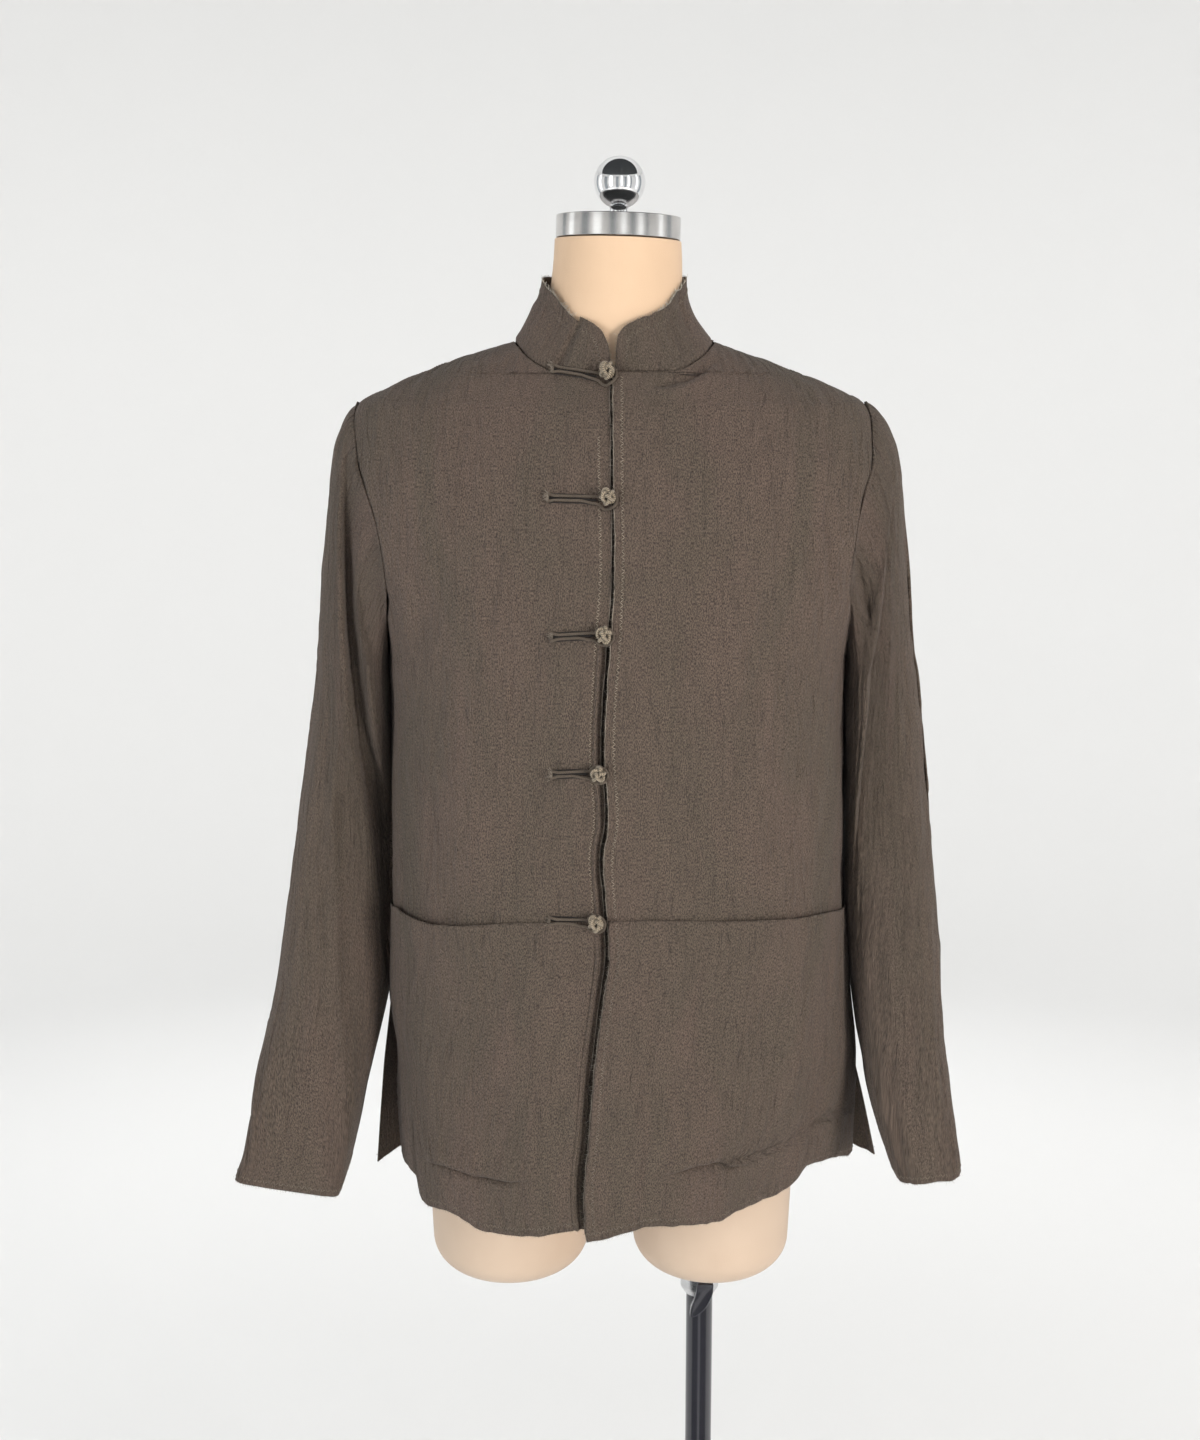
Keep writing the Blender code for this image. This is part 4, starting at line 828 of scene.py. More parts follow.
SLEEVE_RADIUS = 0.065               # a turn's degrees become metres round the sleeve at this radius
FULL_TURN = 0.408                   # the way round at that radius
print("creases:", {SIDE_NAMES[side]: len(SLEEVE_CREASES[side]) for side in SLEEVE_CREASES})


# %% Rings of the sleeves
def armhole_points(side, degrees):
    """The armhole's loop: 0 is the shoulder tip, 90 degrees the front, 180 the underarm."""
    turn = np.radians(degrees)
    height = UNDERARM_HEIGHT + (1 + np.cos(turn)) / 2 * (SHOULDER_TIP_HEIGHT - UNDERARM_HEIGHT)
    cut = armhole_cut(height)
    angle = np.where(np.sin(turn) >= 0, 90 - cut, 90 + cut)
    points = body_surface(side * angle, height)
    points[..., 0] += side * SLEEVE_OFFSET[side]
    return points


def ring_size(side, name, share):
    """One of a ring's sizes, by its share of the way down the sleeve."""
    rows = SLEEVE_RINGS[side]
    at = np.clip(share, 0, 1) * (len(rows) - 1)
    return smooth_curve(range(len(rows)), [row[RING_COLUMNS.index(name)] for row in rows], at)


def sleeve_folds(side, points, front):
    """How far the long folds sink into the sleeve's front."""
    x, z = np.abs(points[..., 0]), points[..., 2]
    total = np.zeros(x.shape)
    for way, step, slope, reach, line in SLEEVE_FOLDS[side]:
        off = way * (x - table_column(line, FOLD_POINT_COLUMNS, "x", z))
        low, high = line[0][0], line[-1][0]
        fade = smoothstep(low, low + 0.25 * (high - low), z) * smoothstep(high, high - 0.25 * (high - low), z)
        sloping = slope * reach * (1 - np.exp(-np.maximum(off, 0) / reach))
        total += fade * (step * smoothstep(-0.0012, 0.0026, off) + sloping)
    if side == LEFT:
        valley = (table_column(SLEEVE_VALLEY, VALLEY_COLUMNS, name, z) for name in VALLEY_COLUMNS[1:])
        start, width, depth = valley
        off = start - x
        total += depth * smoothstep(-0.0010, 0.0022, off) * (1 - 0.85 * smoothstep(0.60, 1.25, off / width))
    return total * front


def sleeve_base(side, share, degrees):
    """Points of a sleeve before its creases: share is the way down it, 90 degrees its front."""
    turn = np.radians(degrees)
    size = {name: ring_size(side, name, share) for name in RING_COLUMNS}
    zero = 0 * share
    outer = np.stack([side * size["outer_x"], zero, size["outer_z"]], -1)
    inner = np.stack([side * size["inner_x"], zero, size["inner_z"]], -1)
    centre = (outer + inner) / 2
    centre[..., 1] += size["middle_y"]
    inner_side = (np.cos(turn) < 0) & (np.sin(turn) > 0)
    square = np.where(inner_side, INNER_SQUARE[side], SLEEVE_SQUARE)
    power = 2 / (square + (CUFF_SQUARE[side] - square) * smoothstep(0.70, 0.97, share))
    points = centre + (outer - inner) / 2 * signed_power(np.cos(turn), power)[..., None]
    points[..., 1] -= size["half_depth"] * signed_power(np.sin(turn), power)
    points[..., 1] += sleeve_folds(side, points, smoothstep(0.0, 0.35, np.sin(turn)))
    blend = smoothstep(0, SLEEVE_BLEND, share)[..., None]
    return armhole_points(side, degrees) * (1 - blend) + points * blend


# %% The sleeves' grids
def sleeve_points(side, rows=196, columns=126):
    """A sleeve's finished points, ring by ring from the armhole to the cuff."""
    share, turn = np.meshgrid(np.linspace(0, 1, rows) ** 1.1, np.arange(columns) / columns, indexing="ij")
    degrees = 360 * turn + 18 * np.cos(math.tau * turn)
    points = sleeve_base(side, share, degrees)
    normals = grid_normals(points, side, wraps=True)
    _, down = grid_lengths(points)
    around = np.cumsum(np.linalg.norm(points - np.roll(points, 1, 1), axis=2), axis=1)
    lift = np.zeros(share.shape)
    for height, width, lean, spots in SLEEVE_CREASES[side]:
        scaled = [(math.radians(angle) * SLEEVE_RADIUS, place) for angle, place in spots]
        for wrap in (-360, 0, 360):
            lift += height * crease(np.radians(degrees + wrap) * SLEEVE_RADIUS, down, scaled, width, lean)
    ends = smoothstep(0, 0.05, share)
    cuff = smoothstep(0.0, 0.03, 1 - share)
    rough = 0.0010 if side == LEFT else 0.0014
    angle = np.radians(degrees)
    ring = SLEEVE_RADIUS * angle
    before = ring - FULL_TURN       # each pattern is blended with itself a turn back, so it has no seam
    wave = crinkle(ring, down, 90 + side) * (1 - turn) + crinkle(before, down, 90 + side) * turn
    slow = noise(ring / 0.05, down / 0.13, 95 + side) * (1 - turn)
    slow = slow + noise(before / 0.05, down / 0.13, 95 + side) * turn
    lift += ends * (rough * wave * (0.4 + 0.6 * cuff) + 0.0024 * slow)
    shoulder = 0.3 + 0.7 * smoothstep(-0.2, 0.8, np.cos(angle))
    lift += 0.0016 * np.exp(-((share - 0.018) / 0.014) ** 2) * shoulder
    moved = points + normals * lift[..., None]
    moved[-1, :, 2] += 0.0005 * waver(around[-1], 0.006, 98 + side)
    return moved, (around, down)


# %% [markdown]
# ## The stand collar
#
# A stand collar is a curved band. It flares where it is sewn to the neck and rises almost
# straight, and its front corners are rounded off. On this one the raw top edge has been turned
# under in places, which leaves a step in the left half and soft creases at the right. How high the
# band reaches is given by tables: one for its top line, and one for each front corner.

# %% Sizes of the collar
COLLAR_TOP_SIDE, COLLAR_TOP_FRONT, COLLAR_TOP_BACK = 0.0600, 0.0620, 0.0610
COLLAR_TOP_COLUMNS = ("towards_front", "height")
COLLAR_TOP = ((-1.00, 1.5920), (0.00, 1.5880), (0.43, 1.5775), (0.60, 1.5705), (0.67, 1.5655), (0.79, 1.5600),
              (0.94, 1.5545), (1.00, 1.5530))
COLLAR_SEAT, COLLAR_STEP = 0.0006, 0.045
COLLAR_CURVE, COLLAR_CURVE_MIDDLE = {LEFT: 1.5, RIGHT: 2.4}, 1.2
COLLAR_MEAN_RADIUS = 0.075
COLLAR_FRONT_GAP = {LEFT: 0.0022, RIGHT: 0.0002}
CORNER_COLUMNS = ("length", "tall")
COLLAR_CORNERS = {                  # the share of the full height reached, by length from the collar's end
    LEFT: ((0.0000, 0.10), (0.0008, 0.14), (0.0027, 0.42), (0.0056, 0.60), (0.0116, 0.78), (0.0222, 0.895),
           (0.0345, 0.935), (0.0600, 1.00)),
    RIGHT: ((0.0000, 0.12), (0.0004, 0.40), (0.0024, 0.678), (0.0100, 0.855), (0.0231, 0.965),
            (0.0462, 1.00)),
}
COLLAR_CREASES = (                  # by x and height, seen from the front
    (-0.0042, 0.0014, 4.0, ((-0.0235, 1.5620), (-0.0290, 1.5515), (-0.0365, 1.5380), (-0.0430, 1.5260),
                            (-0.0500, 1.5120))),
    (0.0016, 0.0050, 1.0, ((-0.0230, 1.5560), (-0.0290, 1.5440), (-0.0370, 1.5310), (-0.0400, 1.5220))),
    (0.0014, 0.0060, 1.0, ((-0.0640, 1.5720), (-0.0660, 1.5560), (-0.0690, 1.5400))),
    (-0.0010, 0.0030, 1.0, ((-0.0560, 1.5700), (-0.0520, 1.5500), (-0.0500, 1.5330))),
    (0.0012, 0.0022, 1.0, ((0.0560, 1.5720), (0.0600, 1.5600), (0.0640, 1.5480))),
    (-0.0012, 0.0022, 1.0, ((0.0520, 1.5720), (0.0560, 1.5590), (0.0600, 1.5460))),
    (0.0010, 0.0022, 1.0, ((0.0480, 1.5660), (0.0460, 1.5610), (0.0440, 1.5570))),
    (-0.0008, 0.0060, 1.0, ((0.0080, 1.5220), (0.0240, 1.5280), (0.0420, 1.5330))),
)
print("collar height in mm, back and front:", round(1000 * (COLLAR_TOP[0][1] - NECK_HEIGHT)),
      round(1000 * (COLLAR_TOP[-1][1] - FRONT_NECK_HEIGHT)))


# %% The surface the collar lies on
def neck_seam_points(turn):
    """The neck seam: 0 is the middle of the front, 90 degrees the right side."""
    degrees = np.degrees(turn) % 360
    side = np.where(degrees <= 180, RIGHT, LEFT)
    from_front = np.where(degrees <= 180, degrees, 360 - degrees)
    widths = [row[1] for row in NECK_SEAM]
    heights = [row[0] for row in NECK_SEAM]
    dense = np.linspace(heights[0], heights[-1], 400)
    height = np.interp(NECK_HALF_WIDTH * np.sin(np.radians(np.minimum(from_front, 90))),
                       smooth_curve(heights, widths, dense), dense)
    height = np.where(from_front >= 90, NECK_HEIGHT, height)
    x = NECK_HALF_WIDTH * np.sin(np.radians(np.minimum(from_front, 90)))
    angle = np.where(from_front >= 90, from_front, np.minimum(np.abs(angle_at(x * side, height)), 90))
    return body_surface(side * angle, height)


def collar_surface(turn, share):
    """Points of the collar by the turn round the neck and the share of its height."""
    foot = neck_seam_points(turn)
    across, along = np.sin(turn), np.cos(turn)
    rise = table_column(COLLAR_TOP, COLLAR_TOP_COLUMNS, "height", along)
    depth = COLLAR_TOP_BACK + (COLLAR_TOP_FRONT - COLLAR_TOP_BACK) * (along + 1) / 2
    flare = np.where(across > 0, COLLAR_CURVE[RIGHT], COLLAR_CURVE[LEFT]) - COLLAR_CURVE_MIDDLE
    lean = np.maximum(1 - share, 0) ** (COLLAR_CURVE_MIDDLE + flare * across**2)
    x = COLLAR_TOP_SIDE * across * (1 - lean) + foot[..., 0] * lean
    y = -depth * along * (1 - lean) + foot[..., 1] * lean
    z = foot[..., 2] + (rise - foot[..., 2]) * share + COLLAR_SEAT * (1 - share)
    return np.stack([x, y, z], -1)


# %% The collar's grid
def collar_points(rows=38, columns=300):
    """The collar's finished points, from its right front end round to its left one."""
    first = math.asin(COLLAR_FRONT_GAP[RIGHT] / NECK_HALF_WIDTH)
    last = math.tau - math.asin(COLLAR_FRONT_GAP[LEFT] / NECK_HALF_WIDTH)
    even = np.linspace(0, 1, columns)
    turn = first + (last - first) * (even - 0.10 * np.sin(math.tau * even))
    length = COLLAR_MEAN_RADIUS * np.minimum(turn - first, last - turn)
    on_left = turn > math.pi
    tall = np.where(on_left, table_column(COLLAR_CORNERS[LEFT], CORNER_COLUMNS, "tall", length),
                    table_column(COLLAR_CORNERS[RIGHT], CORNER_COLUMNS, "tall", length))
    step = smoothstep(0.0358, 0.0350, length) * on_left
    dropped = on_left * smoothstep(0.055, 0.040, length) * (1 - step)
    raised = step * smoothstep(0.010, 0.034, length)
    tall = tall - COLLAR_STEP * dropped + COLLAR_STEP * raised
    tall = tall + 0.012 * noise(length / 0.006 + 40 * on_left, length * 0, 110)
    share = np.linspace(0, 1, rows)[:, None] * tall[None, :]
    points = collar_surface(np.broadcast_to(turn, share.shape), share)
    normals = grid_normals(points, 1)
    across, up = grid_lengths(points)
    place = (np.broadcast_to(across[rows // 2], up.shape), up)
    lift = 0.0003 * crinkle(place[0], place[1], 112, 0.010, 0.03) * tall**2
    lift += 0.0012 * noise(place[0] / 0.04, place[1] / 0.05, 115) * smoothstep(0, 0.3, share)
    front = points[..., 1] < 0.01
    lift += front * creases_of(COLLAR_CREASES, points[..., 0], points[..., 2])
    lift -= 0.0024 * np.exp(-(share / 0.04) ** 2)
    return points + normals * lift[..., None], place


# %% [markdown]
# ## Patch pockets
#
# The pockets are as wide as the fronts: a patch is laid on each front and caught in the side
# seam and the hem. Only its mouth is free, and it gapes a little near the side seam. A pocket is
# made from the front's own points, moved out by its clearance, so the two can never cross.

# %% Sizes of the pockets
POCKET_MOUTH_COLUMNS = ("x", "z")
POCKET_MOUTH = {                    # the mouth's line, from the middle outwards
    LEFT: ((-0.1920, 1.0600), (-0.1860, 1.0640), (-0.180, 1.0680), (-0.166, 1.0660), (-0.150, 1.0655),
           (-0.128, 1.0675), (-0.104, 1.0712), (-0.081, 1.0735), (-0.053, 1.0750), (-0.015, 1.0765)),
    RIGHT: ((-0.006, 1.0775), (0.012, 1.0779), (0.027, 1.0780), (0.053, 1.0762), (0.086, 1.0742),
            (0.119, 1.0725), (0.143, 1.0705), (0.167, 1.0685), (0.186, 1.0640), (0.197, 1.0580)),
}
POCKET_CLEARANCE, POCKET_GAPE = 0.0004, {LEFT: 0.0055, RIGHT: 0.0030}
POCKET_STOP = 0.0022                # how far above the hem's raw edge the pocket is caught
POCKET_START = -0.0080              # where the left pocket's inner edge lies, from the lapping edge
START_ROW, MOUTH_ROW = 54, 98       # rows of the front that its inner edge and its mouth are read at
print("points along the mouths:", len(POCKET_MOUTH[LEFT]), len(POCKET_MOUTH[RIGHT]))


# %% The pockets' grids
def pocket_points(side, panel, rows=124):
    """A pocket over the front's own grid, from just above the hem up to its mouth line."""
    base, _ = front_base(side)
    first = 0 if side == RIGHT else int(np.argmax(edge_gap(base)[START_ROW] < POCKET_START))
    chosen = panel[:, first:-1]
    if side == RIGHT:
        chosen = chosen[:, 1:]
    heights = chosen[..., 2]
    mouth = table_column(POCKET_MOUTH[side], POCKET_MOUTH_COLUMNS, "z", chosen[MOUTH_ROW, :, 0])
    foot = heights[0] + POCKET_STOP
    close_rows = np.linspace(0, 0.30, rows // 2 + 1)[:-1]
    up = np.concatenate([close_rows, np.linspace(0.30, 1, rows - rows // 2)])[:, None]
    wanted = foot + (mouth - foot) * up
    points = np.empty(wanted.shape + (3,))
    for j in range(wanted.shape[1]):
        for axis in range(3):
            points[:, j, axis] = np.interp(wanted[:, j], heights[:, j], chosen[:, j, axis])
    normals = grid_normals(points, side)
    across = np.linspace(0, 1, wanted.shape[1])[None, :]
    bowed = np.sin(np.pi * np.clip((across - 0.36) / 0.54, 0, 1))
    gape = POCKET_GAPE[side] * smoothstep(0.78, 1.0, up) * bowed
    caught = smoothstep(0, 0.04, up) * smoothstep(0, 0.03, across) * smoothstep(0, 0.03, 1 - across)
    place = grid_lengths(points)
    rough = 0.00030 if side == LEFT else 0.00045
    lift = CLOTH_THICKNESS + POCKET_CLEARANCE + gape
    lift = lift + caught * (0.0007 + rough * crinkle(place[0], place[1], 130 + side, 0.010, 0.040))
    return points + normals * lift[..., None]


# %% [markdown]
# ## Knot buttons and their loops
#
# A knot button is one length of cord tied into a ball: the cord runs round the ball several
# times and passes over and under itself. A curve that circles a sphere three times while it
# swings up and down four times crosses itself in just that way. The loops are doubled cords,
# covered in the jacket's cloth, sewn down at one end and free where they go round the knot. Dark
# threads beside the cords and between them are painted shadow where the loop is sewn to the cloth.

# %% Tubes of cord
def tube(name, path, radius, material, closed=False, segments=10, seen_from=(0, -1, 0)):
    """A round cord along a path. radius is one number, or one for each point of the path."""
    path = np.asarray(path, float)
    radius = np.broadcast_to(np.asarray(radius, float), (len(path),))
    if closed:
        ahead = np.roll(path, -1, 0) - np.roll(path, 1, 0)
    else:
        ahead = np.gradient(path, axis=0)
    ahead /= np.linalg.norm(ahead, axis=1, keepdims=True)
    side = np.cross(ahead, np.asarray(seen_from, float))
    side /= np.maximum(np.linalg.norm(side, axis=1, keepdims=True), 1e-9)
    out = np.cross(side, ahead)
    turn = np.arange(segments) / segments * math.tau
    rings = path[:, None] + radius[:, None, None] * (
        out[:, None] * np.cos(turn)[None, :, None] + side[:, None] * np.sin(turn)[None, :, None])
    return skin_rings(name, rings, material, closed)


# %% Skins over rings of points
def skin_rings(name, rings, material, closed=False, capped=True):
    """Joins rings of points into a tube: closed joins its ends, capped fills them."""
    count, segments = rings.shape[:2]
    number = np.arange(count * segments).reshape(count, segments)
    round_number = np.hstack([number, number[:, :1]])
    low, high = round_number[:-1], round_number[1:]
    if closed:
        low, high = round_number, np.roll(round_number, -1, 0)
    faces = np.stack([table.ravel() for table in (low[:, :-1], low[:, 1:], high[:, 1:], high[:, :-1])], 1)
    corners = rings.reshape(-1, 3)
    lengths = np.linalg.norm(np.roll(rings[:, 0], -1, 0) - rings[:, 0], axis=1)
    along = np.concatenate([[0], np.cumsum(lengths)])
    u0 = np.repeat(along[:len(low)], segments)
    u1 = np.repeat(along[1:len(low) + 1], segments)
    v = np.tile(np.arange(segments) / segments, len(low))
    uvs = np.stack([np.stack([u0, v], 1), np.stack([u0, v + 1 / segments], 1),
                    np.stack([u1, v + 1 / segments], 1), np.stack([u1, v], 1)], 1)
    thing = mesh_from_arrays(name, corners, faces[:, ::-1], material, uvs[:, ::-1])
    if capped and not closed:
        close_ends(thing, rings, segments)
    return thing


def close_ends(thing, rings, segments):
    """Adds a small cap to both ends of a tube."""
    shape = bmesh.new()
    shape.from_mesh(thing.data)
    shape.verts.ensure_lookup_table()
    last = len(rings) - 1
    for ring in (0, last):
        members = [shape.verts[ring * segments + j] for j in range(segments)]
        shape.faces.new(members if ring == 0 else members[::-1])
    bmesh.ops.recalc_face_normals(shape, faces=shape.faces)
    if shape.calc_volume(signed=True) < 0:
        bmesh.ops.reverse_faces(shape, faces=shape.faces)
    shape.to_mesh(thing.data)
    shape.free()


def join_pieces(name, pieces):
    """Joins finished meshes into one object."""
    with bpy.context.temp_override(active_object=pieces[0], object=pieces[0],
                                   selected_objects=pieces, selected_editable_objects=pieces):
        bpy.ops.object.join()
    pieces[0].name = pieces[0].data.name = name
    return pieces[0]


# %% Where the fasteners sit
FASTENERS = (                       # height, x, slope and reach of the loop, tilt and turn of the knot
    (1.5078, -0.0064, 0.15, 0.0440, 30, 10),
    (1.4132, -0.0061, 0.02, 0.0475, 55, 75),
    (1.3090, -0.0089, -0.07, 0.0415, 40, 130),
    (1.1987, -0.0132, -0.07, 0.0380, 60, 40),
    (1.0770, -0.0152, 0.00, 0.0380, 35, 95),
)
KNOT_LENGTH, KNOT_CORD, KNOT_WEAVE = 0.0047, 0.00138, 0.0012
KNOT_LEADS, KNOT_SWINGS, KNOT_REACH = 3, 4, math.radians(64)
KNOT_LIFT, CORE_HALF_LENGTH, CORE_RADIUS = 0.0082, 0.0036, 0.0040
LOOP_CORD, LOOP_SPACING = 0.00112, 0.0033
POCKET_STEP = 0.0012                # the lowest knot and loop lie on the pocket, this much further out
# Painted shadow along each loop: thin dark tubes between its cords and beside them.
LOOP_SHADOW_LINES = ((0.0, 0.0008), (0.0031, 0.0005), (-0.0034, 0.0005))   # distance beside the middle, radius
gaps = [round(1000 * (upper[0] - lower[0])) for upper, lower in zip(FASTENERS, FASTENERS[1:])]
print("knots:", len(FASTENERS), "with gaps in mm:", gaps)


# %% Paths of the knots and the loops
def cloth_front(x, z, lift):
    """A point in front of the left front's plain surface."""
    angle = angle_at(x, z)
    return body_surface(angle, z) + body_normal(angle, z) * np.asarray(lift)[..., None]


def knot_path(centre, tilt, turn):
    """The knot's cord: three times round the ball, over and under itself."""
    t = np.linspace(0, math.tau, 150, endpoint=False)
    latitude = KNOT_REACH * np.cos(KNOT_SWINGS * t)
    longitude = KNOT_LEADS * t + math.radians(turn)
    radius = KNOT_LENGTH + KNOT_WEAVE * np.sin(2 * KNOT_SWINGS * t)
    x = radius * np.cos(latitude) * np.cos(longitude)
    y = radius * np.cos(latitude) * np.sin(longitude)
    z = 1.12 * radius * np.sin(latitude)
    lean = math.radians(tilt)
    return centre + np.stack([x, y * math.cos(lean) - z * math.sin(lean),
                              y * math.sin(lean) + z * math.cos(lean)], 1)


def loop_path(row):
    """Out along the upper cord, round the knot's right side and back along the lower cord."""
    height, x, slope, reach = row[:4]
    start = np.linspace(-reach, -0.0095, 22)
    flare = 0.0013 * smoothstep(-reach + 0.007, -reach, start)
    upper = np.stack([start, LOOP_SPACING / 2 - 0.0003 + flare], 1)
    lower = np.stack([start[::-1], -LOOP_SPACING / 2 - 0.0003 - flare[::-1]], 1)
    lower[:, 1] -= 0.0020 * smoothstep(-0.022, -0.0095, lower[:, 0])
    turn = np.radians(np.linspace(158, -150, 34))
    ring = np.stack([0.0074 * np.cos(turn), 0.0070 * np.sin(turn) - 0.0016], 1)
    across, up = np.concatenate([upper, ring, lower]).T
    up = up - slope * np.minimum(across + 0.008, 0)
    rise = LAP_RISE * smoothstep(-0.001, 0.004, across)
    wobble = 0.00025 * noise(across / 0.006, up / 0.004, int(1000 * height))
    return cloth_front(x + across, height + up, 0.0020 + rise + wobble)


def loop_shadow_path(row, beside):
    """A thin dark tube of painted shadow along a loop: between its cords, or the given distance beside their
    middle.
    """
    height, x, slope, reach = row[:4]
    across = np.linspace(-reach + 0.002, -0.0085, 24)
    up = beside - 0.0003 - slope * (across + 0.008) - 0.0010 * smoothstep(-0.022, -0.0095, across)
    return cloth_front(x + across, height + up, 0.0010 + 0 * across)


# %% [markdown]
# ## Finishes
#
# Every finish is procedural. The cloth is a dry, matte cotton: a little sheen at grazing angles,
# no gloss, a fine crepe-like grain, and a colour that drifts between olive and warm grey. Its
# patterns follow the UV map, which is in metres, so they run along the cloth on every piece.

# %% Helpers for shader trees
def new_material(name, roughness=0.6, metallic=0.0, **inputs):
    """A material, its node tree and its shader, with the shader's plain inputs set."""
    material = bpy.data.materials.new(name)
    material.use_nodes = True
    shader = material.node_tree.nodes["Principled BSDF"]
    shader.inputs["Roughness"].default_value = roughness
    shader.inputs["Metallic"].default_value = metallic
    for socket, value in inputs.items():
        shader.inputs[socket.replace("_", " ")].default_value = value
    return material, material.node_tree, shader


def add_node(tree, kind, settings=(), **inputs):
    """Adds a node, sets its options and inputs, and links any input given as a socket."""
    node = tree.nodes.new(kind)
    for name, value in dict(settings).items():
        setattr(node, name, value)
    for name, value in inputs.items():
        numbered = name[0] == "_" and name[1:].isdigit()
        socket = node.inputs[int(name[1:]) if numbered else name.replace("_", " ")]
        if isinstance(value, bpy.types.NodeSocket):
            tree.links.new(value, socket)
        else:
            socket.default_value = value
    return node


def own_place(tree):
    """The place on a piece, in metres along its own axes."""
    return add_node(tree, "ShaderNodeTexCoord").outputs["Object"]


def woven_place(tree):
    """The place on the cloth, in metres along its UV map."""
    return add_node(tree, "ShaderNodeUVMap", {"uv_map": "cloth_metres"}).outputs[0]


def maths(tree, operation, first, second=0.0, third=0.0):
    """One sum inside the tree, such as MULTIPLY or ADD."""
    node = add_node(tree, "ShaderNodeMath", {"operation": operation}, _0=first, _1=second, _2=third)
    return node.outputs[0]


def stretched_noise(tree, place, scale, detail=2.0, roughness=0.5, warp=0.0):
    """Noise with its own number of bumps per metre along each axis."""
    mapping = add_node(tree, "ShaderNodeMapping", Vector=place, Scale=scale)
    made = add_node(tree, "ShaderNodeTexNoise", Vector=mapping.outputs[0], Scale=1.0,
                    Detail=detail, Roughness=roughness, Distortion=warp)
    return made.outputs["Fac"]


def ramp_value(tree, value, low, high):
    """Stretches the values between low and high to run from 0 to 1."""
    node = add_node(tree, "ShaderNodeMapRange", {"interpolation_type": "SMOOTHSTEP"},
                    _0=value, _1=low, _2=high)
    return node.outputs[0]


def mix_colour(tree, factor, first, second, blend="MIX"):
    """Mixes two colours; each can be plain numbers or come out of another node."""
    node = add_node(tree, "ShaderNodeMix", {"data_type": "RGBA", "blend_type": blend})
    for place, value in ((0, factor), (6, first), (7, second)):
        if isinstance(value, bpy.types.NodeSocket):
            tree.links.new(value, node.inputs[place])
        else:
            node.inputs[place].default_value = value if place == 0 else (*value, 1.0)
    return node.outputs[2]


def bump(tree, shader, height, distance, strength=1.0, below=None):
    """Makes the surface look raised where height is large, on top of the bump below it."""
    node = add_node(tree, "ShaderNodeBump", Height=height, Distance=distance, Strength=strength)
    if below is not None:
        tree.links.new(below.outputs[0], node.inputs["Normal"])
    tree.links.new(node.outputs[0], shader.inputs["Normal"])
    return node


# %% The jacket's cloth
CLOTH_OLIVE, CLOTH_WARM = (0.0645, 0.0520, 0.0410), (0.0775, 0.0575, 0.0470)
# The dark colours are painted shade for the creases and wrinkles of the jacket's cloth and of the loops'
# cotton.
CLOTH_CREASE_SHADE = (0.025, 0.0205, 0.0195)
CORD_OLIVE, CORD_WARM, CORD_CREASE_SHADE = (0.135, 0.110, 0.086), (0.150, 0.120, 0.094), (0.055, 0.045, 0.036)


def make_cloth(name, olive, warm, dark, crepe=1.0):
    """Crinkled cotton: a slow drift of colour, painted shade in its creases, flecks of fibre, and bumps for
    each.
    """
    material, tree, shader = new_material(
        name, 0.88, Sheen_Weight=0.10, Sheen_Roughness=0.45, Sheen_Tint=(0.80, 0.74, 0.72, 1.0),
        Specular_IOR_Level=0.15)
    place = woven_place(tree)
    drift = stretched_noise(tree, place, (16, 4.5, 1), 4, 0.55, 0.8)
    wrinkle = stretched_noise(tree, place, (120, 26, 1), 3, 0.55, 1.2)
    creasing = stretched_noise(tree, place, (420, 62, 1), 3, 0.6, 0.7)
    fleck = stretched_noise(tree, place, (1180, 520, 1), 2, 0.7)
    colour = mix_colour(tree, ramp_value(tree, drift, 0.28, 0.72), olive, warm)
    # The colour darkens where the creases and wrinkles sink in: painted shade.
    crease_shade = maths(tree, "MULTIPLY", ramp_value(tree, creasing, 0.57, 0.76), 0.52)
    colour = mix_colour(tree, crease_shade, colour, dark)
    wrinkle_shade = maths(tree, "MULTIPLY", ramp_value(tree, wrinkle, 0.48, 0.70), 0.12)
    colour = mix_colour(tree, wrinkle_shade, colour, dark)
    darker = mix_colour(tree, 1.0, colour, (0.50, 0.50, 0.51), "MULTIPLY")
    lighter = mix_colour(tree, 1.0, colour, (1.78, 1.76, 1.72), "MULTIPLY")
    colour = mix_colour(tree, ramp_value(tree, fleck, 0.32, 0.68), darker, lighter)
    tree.links.new(colour, shader.inputs["Base Color"])
    first = bump(tree, shader, wrinkle, -0.0044 * crepe)
    second = bump(tree, shader, creasing, -0.0012, 1.0, first)
    bump(tree, shader, fleck, 0.0006, 1.0, second)
    return material


CLOTH = make_cloth("olive_crinkled_cotton", CLOTH_OLIVE, CLOTH_WARM, CLOTH_CREASE_SHADE)
CORD_CLOTH = make_cloth("loop_cotton", CORD_OLIVE, CORD_WARM, CORD_CREASE_SHADE, 0.2)
print("nodes in the cloth's tree:", len(CLOTH.node_tree.nodes))


